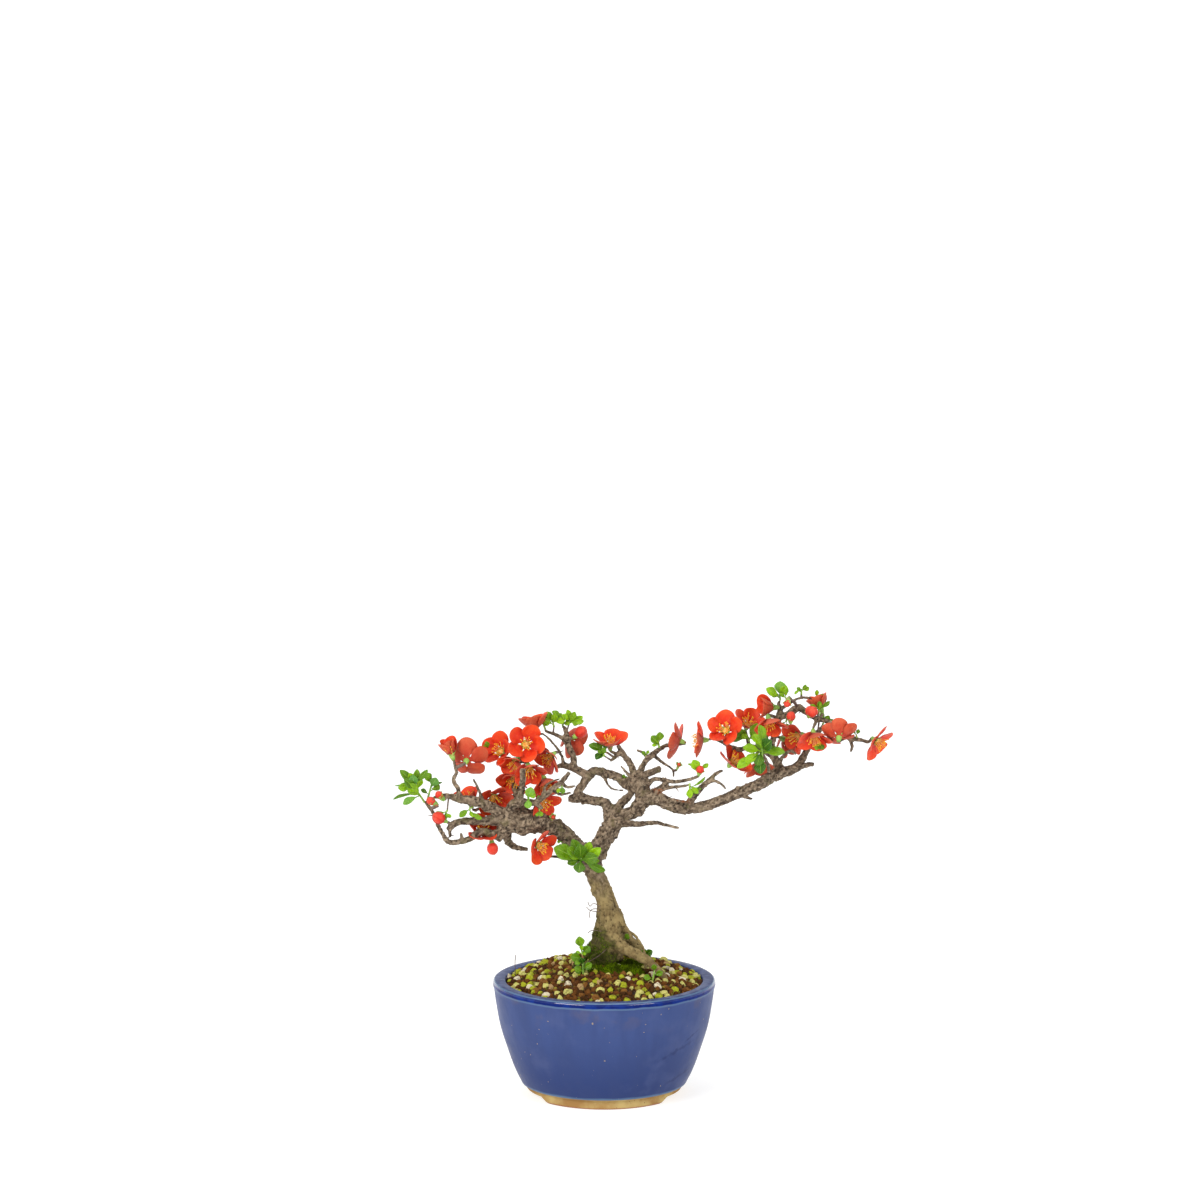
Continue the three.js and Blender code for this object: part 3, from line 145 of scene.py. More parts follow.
# Trunk, roots and branches, as points of (x, y, z, radius)
WOOD = {
  "trunk": ((0, 3, 60, 8), (0, 3, 76, 11), (1, 2, 88, 10.5), (3, 0, 98, 10.5), (5, -1, 110, 9.6),
    (3, -1, 125, 7.2), (-2, -1, 139, 6.2), (-7, -1, 150, 6), (-10, 0, 157, 6.4)),
  "butt_left": ((0, 4, 82, 7), (0, 4, 95, 6), (-3, 2, 104, 5.5), (-1, 0, 116, 4.5), (-1, -1, 127, 4)),
  "root_front": ((5, -5, 115, 4), (6, -9, 108, 4.3), (11, -13, 102, 4.2), (21, -16, 97, 3.8),
    (31, -17, 91, 3), (40, -18, 82, 2), (45, -19, 72, 1.2)),
  "root_right": ((9, -2, 123, 3.2), (13, 1, 108, 3.6), (22, 4, 98, 3), (30, 6, 89, 2), (36, 8, 78, 1.3)),
  "root_back": ((3, 6, 110, 4.5), (7, 13, 100, 4.2), (13, 22, 92, 3.2), (20, 31, 83, 2), (24, 37, 74, 1.2)),
  "root_left": ((-1, 2, 106, 4), (-8, 0, 98, 3.6), (-14, -3, 92, 2.6), (-21, -6, 84, 1.6),
    (-25, -8, 74, 1)),
  "root_arch": ((11, -4, 112, 1.3), (19, -6, 109, 1.1), (24, -7, 103, 1), (27, -7, 96, 0.9),
    (28, -7, 80, 0.8)),
  "root_thin": ((4, -8, 102, 1.6), (-2, -12, 98, 1.2), (-9, -15, 94, 1.1), (-12, -17, 80, 0.9)),
  "root_short": ((8, -5, 125, 2), (12, -8, 117, 1.5), (17, -9, 110, 1.2), (19, -10, 104, 1)),
  "rootlet_a": ((-4, -3, 127, 1.1), (-12, -5, 128, 0.7)),
  "rootlet_b": ((-4, -4, 110, 1.1), (-11, -7, 112, 0.7)),

  "left_main": ((-8, 0, 154, 6.2), (-14, -1, 163, 5.8), (-20, -2, 169, 5.5), (-26, -4, 176, 5.5),
    (-36, -8, 183, 5.8), (-46, -12, 186, 7.5), (-56, -15, 187, 9), (-65, -18, 188, 7), (-70, -20, 189, 5)),
  "left_low": ((-65, -18, 184, 5.5), (-70, -20, 179, 4), (-76, -22, 180, 2.8), (-82, -24, 182, 2.4),
    (-88, -26, 178, 2.2), (-94, -28, 176, 2), (-103, -31, 176, 1.7), (-107, -32, 182, 1.5),
    (-110, -33, 188, 1.4), (-112, -33, 194, 1.3), (-118, -31, 203, 1.2)),
  "left_low_spur": ((-94, -28, 176, 1.5), (-95, -29, 182, 0.9)),
  "left_arm": ((-62, -18, 190, 4.8), (-69, -20, 194, 3.8), (-76, -22, 198, 3.6), (-82, -23, 201, 3.4),
    (-89, -25, 203, 3.1), (-96, -26, 204, 2.7), (-101, -28, 206, 2.1), (-109, -30, 207, 1.2)),
  "left_arm_riser": ((-96, -26, 204, 1.9), (-97, -25, 211, 1.5), (-100, -24, 216, 1.4),
    (-98, -22, 221, 1.3),
    (-99, -20, 225, 1.2)),
  "left_arm_twig": ((-80, -22, 200, 1.6), (-83, -19, 208, 1.1), (-87, -17, 216, 0.9)),
  "left_stub": ((-69, -20, 189, 4), (-80, -23, 189, 2.9), (-93, -26, 189, 2.4), (-100, -28, 188, 2),
    (-104, -29, 184, 1.5)),
  "left_stub_tip": ((-98, -27, 188, 1.9), (-102, -29, 184, 1.4), (-102, -30, 179, 1)),
  "left_under": ((-65, -13, 180, 3.6), (-64, -9, 172, 2.5), (-59, -7, 168, 1.9), (-51, -5, 166, 1.2)),
  "peg": ((-65, -20, 193, 3.4), (-60, -24, 201, 2.8), (-56, -27, 204, 2.4), (-54, -29, 217, 2),
    (-54, -30, 225, 1.9)),
  "cross_twig": ((-59, -24, 200, 2.6), (-53, -24, 202, 2.2), (-46, -25, 201, 1.9), (-41, -24, 197, 1.2)),
  "front_limb": ((-51, -24, 201, 2), (-45, -25, 202, 2), (-41, -26, 205, 1.9), (-33, -27, 212, 1.8),
    (-28, -27, 216, 1.7), (-23, -26, 222, 1.3)),
  "front_limb_spur_a": ((-29, -27, 215, 1.5), (-24, -26, 212, 1.1), (-19, -25, 213, 0.8)),
  "front_limb_spur_b": ((-35, -27, 211, 1.4), (-29, -25, 207, 1.1), (-22, -23, 208, 0.8)),
  "front_limb_thorn": ((-41, -26, 205, 1.4), (-39, -24, 212, 1), (-35, -22, 215, 0.8),
    (-29, -21, 217, 0.6)),
  "fork_twig": ((-16, -2, 158, 2), (-22, -5, 159, 1.3), (-32, -9, 162, 1.1), (-46, -13, 163, 0.6)),
  "inner_limb": ((-53, -12, 190, 4), (-56, -6, 199, 2.8), (-60, 2, 208, 2.3), (-60, 6, 217, 2),
    (-56, 8, 226, 1.7), (-51, 9, 232, 1.3)),
  "inner_limb_left": ((-60, 4, 211, 2), (-66, 6, 218, 1.5), (-70, 7, 224, 1.1)),
  "inner_limb_low": ((-57, -5, 200, 2.4), (-66, -2, 200, 1.7), (-76, -3, 198, 1.4), (-86, -7, 193, 1.1)),

  "right_main": ((-10, 0, 153, 6.2), (-7, 1, 161, 6.4), (-3, 1, 167, 6.4), (1, 2, 174, 6.4),
    (5, 3, 180, 6.2), (9, 3, 185, 5)),
  "centre_riser": ((5, 4, 178, 4.8), (3, 7, 188, 3.9), (1, 9, 195, 3.4), (-4, 10, 196, 3.2),
    (-10, 10, 197, 3.1), (-16, 11, 199, 3.2), (-18, 12, 202, 3), (-15, 13, 206, 2.8), (-11, 14, 212, 3.1)),
  "centre_knob": ((-15, 11, 199, 2.8), (-20, 11, 198, 3.3), (-24, 11, 198, 2.2)),
  "centre_arch": ((-12, 14, 211, 3), (-7, 15, 216, 2.9), (1, 16, 214, 2.8), (9, 16, 212, 2.8),
    (13, 14, 208, 3), (19, 11, 205, 3.2)),
  "centre_left_arm": ((-10, 14, 213, 2.8), (-20, 17, 217, 2.5), (-27, 19, 219, 2), (-32, 21, 218, 1.4)),
  "centre_left_riser": ((-20, 17, 216, 2.4), (-21, 20, 225, 2.1), (-24, 22, 232, 2.2), (-26, 25, 242, 1.6)),
  "centre_left_top": ((-24, 22, 233, 1.9), (-30, 24, 238, 1.5), (-39, 27, 241, 1)),
  "centre_left_twig": ((-27, 19, 219, 1.4), (-30, 20, 228, 1), (-40, 23, 239, 0.8)),
  "arch_twig": ((0, 16, 214, 1.6), (2, 17, 207, 0.9), (6, 18, 203, 0.8), (13, 19, 202, 0.7)),
  "mid_riser": ((6, 4, 182, 3.6), (9, 7, 192, 3), (17, 10, 200, 2.4), (19, 10, 204, 2.6),
    (21, 9, 209, 3.2)),
  "mid_loop": ((7, 3, 183, 4.6), (12, 2, 188, 4.4), (19, 1, 190, 4.2), (25, 1, 195, 4.2), (27, 3, 200, 4.6),
    (25, 6, 206, 5.6), (21, 8, 210, 4.2)),
  "cut_limb": ((25, 5, 206, 3.4), (27, 2, 215, 2.6), (32, -2, 218, 2.3), (37, -6, 221, 2.3)),
  "right_knob": ((27, 2, 200, 3.6), (34, -1, 204, 2.8), (42, -4, 211, 1.6)),
  "right_knob_twig": ((36, -2, 206, 2), (43, -5, 208, 1.4), (55, -8, 210, 0.9)),
  "right_main_limb": ((20, 1, 190, 4.6), (25, 0, 197, 4.6), (32, -1, 200, 4.3), (40, -2, 198, 4.2),
    (51, -4, 194, 3.9), (65, -5, 195, 3.6), (79, -6, 200, 3.5), (93, -6, 206, 3.7), (105, -5, 211, 3.9),
    (115, -3, 217, 4), (124, -1, 219, 3.6), (130, 2, 222, 3), (135, 6, 230, 2.3), (140, 11, 239, 2),
    (147, 15, 246, 1.5)),
  "limb_stub": ((129, 1, 221, 2.4), (136, -2, 223, 1.8), (140, -4, 224, 1.4)),
  "limb_under_spur": ((90, -6, 205, 1.9), (95, -8, 202, 1.3), (99, -9, 201, 0.9)),
  "limb_loop": ((40, -3, 199, 2), (45, -8, 200, 1.5), (49, -10, 200, 1.3), (56, -11, 199, 1)),
  "gnarled_spur": ((56, -6, 196, 2.6), (59, -8, 202, 2.6), (63, -9, 207, 2.3), (67, -10, 211, 1.9),
    (75, -12, 219, 1.3), (79, -12, 221, 1)),
  "gnarled_spur_tip": ((68, -10, 212, 1.7), (73, -13, 214, 1.2), (78, -15, 212, 1), (81, -16, 209, 0.8)),
  "fine_shoot": ((109, -5, 212, 2), (110, -8, 220, 1.4), (107, -12, 229, 1.2), (104, -14, 233, 1)),
  "shoot": ((118, -1, 216, 3.2), (117, 1, 221, 2.9), (114, 3, 227, 2.8), (109, 4, 231, 2.6),
    (102, 5, 233, 2.2), (97, 6, 234, 1.9), (92, 7, 232, 1.7), (86, 8, 233, 1.6), (80, 9, 236, 1.3),
    (73, 10, 239, 1)),
  "shoot_spur": ((116, 1, 223, 1.9), (119, -2, 228, 1.4), (124, -5, 233, 1.2), (128, -8, 231, 0.9)),
  "top_riser": ((110, 4, 229, 2.6), (113, 7, 238, 2.2), (116, 9, 249, 2.2), (118, 10, 257, 2.1),
    (117, 11, 262, 1.4)),
  "top_limb": ((116, 9, 253, 2.2), (122, 7, 255, 2.2), (126, 5, 258, 2.6), (130, 3, 261, 2.5),
    (135, 1, 258, 2), (142, -2, 254, 1.8), (148, -4, 253, 1.7), (156, -6, 248, 1.8), (162, -8, 243, 1.9),
    (171, -10, 241, 1.4), (176, -11, 240, 1.1)),
  "top_limb_spur": ((163, -8, 243, 1.6), (165, -10, 237, 1.2), (164, -11, 233, 0.9)),
  "top_twig": ((118, 10, 259, 1.5), (123, 9, 262, 1.1), (129, 8, 266, 1), (135, 7, 267, 1)),
  "up_limb_left": ((21, 9, 208, 3), (19, 12, 217, 2.4), (17, 14, 222, 2.2), (13, 16, 227, 2.1),
    (9, 18, 233, 1.4)),
  "up_limb_left_spur": ((11, 17, 229, 1.8), (7, 15, 225, 1.3), (4, 13, 223, 0.9)),
  "up_limb_right": ((23, 8, 210, 2.8), (26, 14, 220, 2), (31, 19, 225, 1.9), (37, 24, 229, 1.7),
    (43, 28, 232, 1.2)),
  "up_limb_right_spur": ((30, 18, 224, 1.6), (26, 17, 228, 1.1), (22, 16, 230, 0.8)),
  "up_limb_right_fork": ((33, 20, 226, 1.5), (40, 22, 220, 1), (46, 22, 216, 0.9), (47, 20, 211, 0.8)),
  "needle_twig": ((20, 9, 211, 1.6), (15, 8, 216, 1.1), (11, 7, 221, 0.7)),
  "level_twig": ((27, 3, 206, 2.2), (32, 2, 212, 1.7), (37, -1, 213, 1.5), (47, -4, 212, 1.4),
    (57, -7, 214, 1.2), (62, -8, 216, 1)),
  "low_right": ((6, 1, 182, 4), (14, -5, 184, 2.6), (22, -9, 184, 2), (34, -14, 186, 1.5),
    (40, -16, 185, 1.2), (50, -18, 183, 0.9)),
}


def bloom(base, face, opening, size, turn, tuft=False):
    """Where a bloom stands, where it faces (angle in the picture, degrees toward the viewer), how
    many degrees it opens, its petals' length, how far it is turned, and whether its stamens are a
    node of their own."""
    return {"base": base, "face": face, "open": opening, "size": size, "turn": turn, "tuft": tuft}


def bud(base, face, size):
    return {"base": base, "face": face, "size": size}


def shoot(base, face, length, leaves, rooted=False, tip_bud=None):
    """A shoot's place, facing and length, and its leaves as (angle in the picture, degrees toward
    the viewer, length, width, roll). It may stand in the soil, or carry a bud."""
    return {"base": base, "face": face, "length": length, "leaves": leaves, "rooted": rooted,
            "bud": tip_bud}


BLOOMS = {
  "bloom_01": bloom((-100, -18, 229), (108, 8), 24, 12, 10),
  "bloom_02": bloom((-92, -19, 227), (70, -72), 66, 14, 20),
  "bloom_03": bloom((-53, 4, 235), (70, 72), 62, 14, -8, tuft=True),
  "bloom_04": bloom((-67, 8, 229), (140, 50), 58, 13, 20),
  "bloom_05": bloom((-57, 0, 228), (235, 40), 50, 13, 0),
  "bloom_06": bloom((-46, 18, 240), (100, -5), 40, 13.5, 0),
  "bloom_07": bloom((-33, 12, 229), (215, 35), 58, 12.5, 36),
  "bloom_08": bloom((-75, -4, 204), (300, 60), 62, 13.5, 10),
  "bloom_09": bloom((-51, -7, 225), (285, 50), 50, 12.5, 18),
  "bloom_10": bloom((-44, -10, 203), (320, 35), 56, 12.5, 10),
  "bloom_11": bloom((-88, -8, 195), (115, 10), 46, 12, 0),
  "bloom_12": bloom((-84, -16, 177), (65, 33), 62, 12.5, 0, tuft=True),
  "bloom_13": bloom((-47, -17, 173), (340, 40), 64, 12.5, 25),
  "bloom_14": bloom((-26, 28, 237), (320, -40), 56, 12.5, 0),
  "bloom_15": bloom((4, 20, 229), (91, 16), 60, 13.5, 18, tuft=True),
  "bloom_16": bloom((55, 27, 233), (163, -12), 66, 13, 0),
  "bloom_17": bloom((70, 9, 238), (180, 2), 70, 12, 10),
  "bloom_18": bloom((82, 1, 244), (115, 55), 58, 13, 20),
  "bloom_19": bloom((95, 14, 244), (75, 30), 54, 12.5, 50),
  "bloom_20": bloom((83, 1, 221), (50, 20), 66, 13, 12),
  "bloom_21": bloom((117, 8, 260), (172, 18), 30, 12, 0),
  "bloom_22": bloom((109, -4, 257), (280, 35), 50, 13, 20),
  "bloom_23": bloom((118, 14, 239), (330, -30), 58, 12.5, 0),
  "bloom_24": bloom((102, 15, 225), (285, -10), 56, 12, 15),
  "bloom_25": bloom((133, 6, 243), (200, 35), 58, 12, 0),
  "bloom_26": bloom((139, -8, 248), (275, 38), 58, 13.5, 8),
  "bloom_27": bloom((155, -22, 242), (75, -50), 58, 13, 20),
  "bloom_28": bloom((146, 3, 257), (110, -5), 36, 11, 0),
  "bloom_29": bloom((178, -12, 243), (325, 30), 74, 12.5, 30),
}

BUDS = {
  "bud_01": bud((-110, -33, 201), (145, 5), 5.4),
  "bud_02": bud((-106, -30, 204), (130, 20), 5),
  "bud_03": bud((-104, -33, 190), (150, 20), 8),
  "bud_04": bud((-75, -21, 176), (278, 20), 7.4),
  "bud_05": bud((-21, 24, 237), (38, 5), 8),
  "bud_06": bud((136, -7, 256), (60, 40), 7),
}

SHOOTS = {
  "leaves_01": shoot((-119, -31, 203), (122, 5), 15, (
    (133, 25, 14.5, 8.5, 10), (206, 10, 12.5, 5.5, 25), (192, 0, 17.5, 3.6, 50), (168, -20, 17, 3, 60),
    (132, 30, 14, 6.5, 20), (128, 10, 17, 6, 25), (97, 30, 11, 7, 0), (78, 10, 12, 5, 20),
    (46, 15, 15, 4.6, 25))),
  "leaves_02": shoot((-117, -27, 204), (75, -15), 13, (
    (144, 10, 6.5, 3.2, 20), (30, -25, 8, 5, 20), (62, 15, 8.5, 7, 15), (115, 15, 9.5, 6, 25),
    (357, 10, 6.5, 2.4, 60))),
  "leaves_03": shoot((-40, 27, 243), (110, 0), 5, (
    (92, 25, 8, 6.5, 0), (165, 5, 8, 5, 15), (45, 20, 7.5, 5, 20))),
  "leaves_04": shoot((-28, 26, 245), (85, 10), 3, (
    (47, 15, 11, 5, 25), (28, -15, 8, 4.5, 25), (134, 15, 11, 5, 30))),
  "leaves_05": shoot((2, 17, 228), (150, 40), 4, (
    (155, 15, 13.5, 6, 25), (84, 5, 7, 4.5, 0), (222, 40, 9, 5, 20))),
  "leaves_06": shoot((37, 22, 231), (95, 0), 3, (
    (125, 10, 9, 6, 10), (85, 20, 8.5, 6, 15))),
  "leaves_07": shoot((63, -10, 217), (85, 5), 5, (
    (112, 15, 11, 7, 5), (148, -10, 9, 3, 50), (32, 10, 7, 3.6, 25)),
  tip_bud=bud((63, -10, 217.5), (80, 40), 5.2)),
  "leaves_08": shoot((57, -9, 211), (265, 30), 2.5, (
    (322, 30, 8.5, 4.5, 20), (350, 10, 8, 2.6, 45), (38, 20, 14, 2.8, 50))),
  "leaves_09": shoot((97, 4, 238), (100, 20), 3, (
    (68, 25, 15, 7.5, 15), (168, 20, 14, 6.5, 20), (185, 10, 13.5, 6, 20))),
  "leaves_10": shoot((104, -15, 233), (80, 40), 3, (
    (90, 25, 12, 8.2, 0), (15, 20, 12.5, 6.5, 15), (212, 25, 14, 6.5, 15), (252, 30, 11, 8.2, 5),
    (70, -10, 11, 3, 50))),
  "leaves_11": shoot((118, 11, 265), (95, 5), 3, (
    (142, 15, 12.5, 6.5, 15), (90, -5, 11, 8.5, 0), (64, 25, 10, 6.5, 10), (155, -25, 9, 4, 40))),
  "leaves_12": shoot((132, 8, 269), (90, 10), 4, (
    (128, 10, 5, 3, 20), (60, 15, 6, 3, 20), (20, 5, 5.5, 3.6, 15), (215, 20, 6, 2.4, 40))),
  "leaves_13": shoot((143, -2, 258), (85, 10), 3, (
    (138, 15, 8, 3.6, 20), (88, 20, 7, 3.8, 10), (38, 10, 9, 3.4, 25))),
  "leaves_14": shoot((147, 15, 248), (60, 10), 2.5, (
    (55, 20, 7, 4.5, 10), (10, 10, 7, 4, 20), (120, -15, 6, 4, 20))),
  "leaves_15": shoot((-16, -8, 158), (80, 60), 8, (
    (149, 20, 22, 11.5, 10), (110, 15, 17, 8, 15), (189, 20, 9.5, 6, 20), (132, 35, 17, 8, 20),
    (94, 40, 17, 9, 10), (66, 20, 15.5, 7.5, 25), (34, 20, 17, 7.5, 20), (15, 35, 14, 9, 10),
    (259, 30, 10, 8.5, 5), (334, 5, 18, 6.5, 30))),
  "leaves_16": shoot((-50, -27, 204), (110, 30), 2.5, (
    (78, 25, 9.5, 7, 5), (275, 30, 7.5, 5.5, 10), (20, 20, 6, 4, 20))),
  "weed_01": shoot((-14, -22, 84), (92, 10), 11, (
    (150, 20, 7, 5, 10), (30, 15, 7, 5, 10), (100, 30, 6, 4.5, 0), (200, 25, 6, 4, 20))),
  "weed_02": shoot((32, -26, 80.2), (80, 15), 9, (
    (160, 20, 7, 4.5, 10), (25, 20, 7, 4.5, 10), (95, 30, 6, 4, 0))),
}
# Small shoots, weeds and buds that are finer than the part's solids
SPRIGS = {
  "sprig_01": shoot((28, 17, 225), (95, 20), 1.5, (
    (120, 20, 5, 3, 10), (60, 10, 4, 2.4, 20))),
  "sprig_02": shoot((12, 15, 210), (60, 30), 1.5, (
    (70, 20, 4, 2.4, 10), (20, 20, 3.5, 2, 20))),
  "sprig_03": shoot((-28, -27, 214), (265, 30), 1.5, (
    (280, 20, 6, 4, 10), (235, 10, 5, 3, 20))),
  "sprig_04": shoot((-43, -25, 197), (270, 40), 1.5, (
    (295, 30, 5, 3.4, 10), (240, 20, 4, 2.6, 20))),
  "sprig_05": shoot((-89, -27, 198), (270, 40), 2, (
    (215, 25, 9, 4.6, 15), (330, 20, 10, 4, 30))),
  "sprig_06": shoot((-104, -31, 197), (230, 40), 2, (
    (200, 20, 9, 5, 10), (250, 25, 6, 4, 10))),
  "sprig_07": shoot((168, -10, 243), (100, 10), 1.5, (
    (125, 5, 7, 2.6, 40), (70, 15, 4.5, 3, 10))),
  "sprig_08": shoot((142, -4, 241), (290, 30), 2, (
    (300, 25, 8, 5, 5), (262, 10, 6, 3.4, 20))),
  "sprig_09": shoot((0, 11, 227), (110, 30), 1.5, (
    (95, 20, 6, 3.8, 10), (150, 20, 5, 3, 20))),
  "sprig_10": shoot((122, 5, 252), (250, 30), 1.5, (
    (225, 20, 6, 2.6, 30), (300, 20, 5, 3, 10))),
  "sprig_11": shoot((-29, -4, 175), (265, 40), 1.5, (
    (290, 30, 4.5, 3, 10), (245, 20, 4, 2.4, 20))),
  "sprig_12": shoot((-77, 7, 231), (125, 20), 2, (
    (150, 15, 6, 3, 20), (100, 25, 6, 3.6, 10))),
  "sprig_13": shoot((-34, 24, 245), (100, 20), 4, (
    (150, 20, 9, 4.6, 15), (120, 5, 10, 5, 25), (80, 30, 9, 5.4, 5), (50, 10, 9, 4.4, 20),
    (15, 20, 9, 5, 10),
    (200, 20, 7, 4, 20))),
  "sprig_14": shoot((-24, 24, 246), (70, 20), 4, (
    (30, 15, 11, 5, 15), (65, 25, 10, 5, 10), (100, 10, 9, 4.4, 20), (5, 20, 10, 4.6, 15),
    (140, 25, 8, 4.4, 15),
    (330, 20, 6, 3.6, 20))),
  "sprig_15": shoot((122, 8, 266), (120, 20), 1.5, (
    (140, 20, 6, 2.8, 10), (90, 20, 5, 2.6, 20))),
  "sprig_16": shoot((141, 6, 266), (60, 20), 1.5, (
    (30, 20, 7, 3.2, 10), (85, 20, 6, 3, 10))),
  "sprig_17": shoot((105, -15, 229), (92, 40), 11, (
    (262, 35, 13, 9, 25), (206, 10, 19, 7.5, 30), (8, 30, 17, 7, -25), (163, 30, 16, 7, 20),
    (55, 45, 14, 9.5, -20),
    (98, 10, 17, 7.5, 35))),
  "weed_05": shoot((-13, -19, 84), (97, 8), 19, rooted=True, leaves=(
    (200, 30, 7, 5, 0), (330, 30, 7, 5.4, 0), (165, 25, 9, 7, 0), (50, 20, 8, 6.4, 10),
    (100, 20, 10, 6.6, 0))),
  "weed_03": shoot((13, -3, 104), (80, 40), 2, (
    (160, 30, 5, 4, 0), (40, 30, 6, 4.4, 0), (250, 30, 5, 4, 0))),
  "weed_04": shoot((27, 0, 92), (80, 40), 3, (
    (150, 20, 7, 5, 0), (35, 25, 7, 5, 0), (95, 30, 5, 4, 0), (330, 30, 5, 4, 0))),
}

# Blooms that fill the middle of the left-hand cluster, behind and below the part's own
MORE_BLOOMS = {
  "bloom_30": bloom((-58, 2, 217), (245, 40), 52, 12.5, 10),
  "bloom_31": bloom((-41, 3, 215), (290, 40), 50, 12.5, 40),
}

SMALL_BUDS = {
  "left": bud((-33, -11, 188), (120, 60), 2.6),
  "twig": bud((123, -5, 269), (250, 40), 4.6),
  "knuckle": bud((136, -5, 256), (80, 40), 6.4),
  "fork": bud((49, 20, 216), (70, 30), 2.6),
  "under": bud((124, -7, 252), (88, 30), 6),
  "riser": bud((96, 1, 232), (20, 40), 2.8),
}

# How bright a shoot's green is, from 0 to 1, where it isn't middling
SHADES = {
  "leaves_01": 0.5, "leaves_02": 0.42, "leaves_03": 0.8, "leaves_04": 0.85, "leaves_05": 0.12,
  "leaves_06": 0.72, "leaves_07": 0.85, "leaves_08": 0.7, "leaves_09": 0.62, "leaves_10": 0.42,
  "leaves_11": 0.85, "leaves_12": 0.66, "leaves_13": 0.72, "leaves_14": 0.6, "leaves_15": 0.4,
  "leaves_16": 1.0, "sprig_13": 0.85, "sprig_14": 0.9, "sprig_15": 0.8, "sprig_16": 0.85, "sprig_17": 0.6,
  "weed_01": 0.3, "weed_02": 0.3, "weed_03": 0.35, "weed_04": 0.3, "weed_05": 0.45,
}

# How many small leaves open beside each shoot's own, where it isn't three
YOUNG_LEAVES = {
  "leaves_01": 6, "leaves_02": 2, "leaves_03": 7, "leaves_04": 7, "leaves_09": 4, "leaves_10": 2,
  "leaves_11": 2, "leaves_12": 5, "leaves_13": 4, "leaves_14": 5, "leaves_15": 4, "leaves_16": 1,
  "sprig_17": 1,
}

# Leaves that turn their undersides to the front, by their place on the shoot
UNDERSIDES = {
  "leaves_01": (1, 3, 6), "leaves_02": (2,), "leaves_09": (2,), "leaves_11": (1, 3), "leaves_16": (0, 1),
}

# Leaves much brighter or darker than the rest of their shoot, by their place on it
ODD_SHADES = {
  "leaves_15": {0: 0.55, 5: 0.9, 6: 1.0},
  "leaves_10": {2: 0.95},
  "sprig_17": {0: 0.12, 1: 0.95, 2: 0.62, 3: 0.9, 4: 0.08, 5: 0.7},
}

# Moss on the soil: middle, half-widths, height of the pad, and how many leaves
MOSS_PADS = (
    (-6, -13, 9, 7, 2.0, 1000),
    (7, -16, 10, 8, 3.0, 1500),
    (19, -14, 8, 7, 3.5, 1100),
    (17, -4, 7, 6, 5.0, 1000),
    (26, 5, 7, 5, 3.0, 600),
)

# Hair-thin dead rootlets and a dry stalk, as (x, y, z) points
HAIRS = (
    ((-2, -7, 127), (-7, -8, 130), (-9.5, -8, 128), (-11, -9, 131)),
    ((-2, -7, 126), (-8, -8, 126), (-10, -8, 123), (-9.5, -8, 120)),
    ((-3, -7, 124), (-9, -8, 125), (-12, -8, 127.5)),
    ((-2, -8, 111), (-8, -10, 112), (-11, -9, 110)),
    ((-60, 14, 76), (-60.4, 14, 84), (-60, 14, 90)),
    ((-17, -20, 84), (-12, -18, 91), (-4, -15, 95.5), (4, -9, 101)),
)


# Helpers for shapes

def in_frame(point):
    """A place in millimetres from the pot's axis, in metres of the frame."""
    return POT_AXIS + Vector(point[:3]) * MM


def random_stream(name):
    """A repeatable stream of numbers from 0 to 1, seeded by a name, as in the part's own source."""
    def wrap(value):
        return (value + 0x80000000) % 0x100000000 - 0x80000000

    state = 7
    for letter in name:
        state = wrap(wrap(state * 31) + ord(letter))

    def draw():
        nonlocal state
        state = wrap(state + 0x6D2B79F5)
        low = state & 0xFFFFFFFF
        mixed = wrap((low ^ low >> 15) * (1 | low))
        bits = mixed & 0xFFFFFFFF
        mixed = wrap(mixed + wrap((bits ^ bits >> 7) * (61 | bits))) ^ mixed
        bits = mixed & 0xFFFFFFFF
        return (bits ^ bits >> 14) / 4294967296

    return draw


def direction(facing):
    """The direction that faces an angle in the picture and comes some degrees toward the viewer."""
    a, t = math.radians(facing[0]), math.radians(facing[1])
    return Vector((math.cos(t) * math.cos(a), -math.sin(t), math.cos(t) * math.sin(a)))


def frame_along(forward, turn):
    """Two directions across `forward`, turned about it."""
    side = Vector((1, 0, 0) if abs(forward.z) > 0.9 else (0, 0, 1)).cross(forward).normalized()
    side = Matrix.Rotation(turn, 3, forward) @ side
    return side, forward.cross(side)


class Sheaf:
    """The faces of one piece, gathered in millimetres, with the material, the place on the blade
    and the tint of each."""

    def __init__(self):
        self.corners = []
        self.places = []
        self.tints = []
        self.faces = []
        self.slots = []

    def add(self, corners, faces, slot=0, places=None, tint=0.5):
        first = len(self.corners)
        self.corners.extend(corners)
        self.places.extend(places or [(0.5, 0.5)] * len(corners))
        self.tints.extend([tint] * len(corners))
        self.faces.extend(tuple(first + k for k in face) for face in faces)
        self.slots.extend(slot if isinstance(slot, list) else [slot] * len(faces))

    def mesh(self, name, materials):
        mesh = bpy.data.meshes.new(name)
        mesh.from_pydata([in_frame(corner) for corner in self.corners], [], self.faces)
        for material in materials:
            mesh.materials.append(material)
        mesh.polygons.foreach_set("material_index", self.slots)
        mesh.polygons.foreach_set("use_smooth", [True] * len(self.faces))
        corner_of = np.zeros(len(mesh.loops), np.int32)
        mesh.loops.foreach_get("vertex_index", corner_of)
        layer = mesh.uv_layers.new(name="blade")
        layer.data.foreach_set("uv", np.array(self.places, np.float32)[corner_of].ravel())
        tint = mesh.attributes.new("tint", "FLOAT", "POINT")
        tint.data.foreach_set("value", self.tints)
        mesh.update()
        return mesh


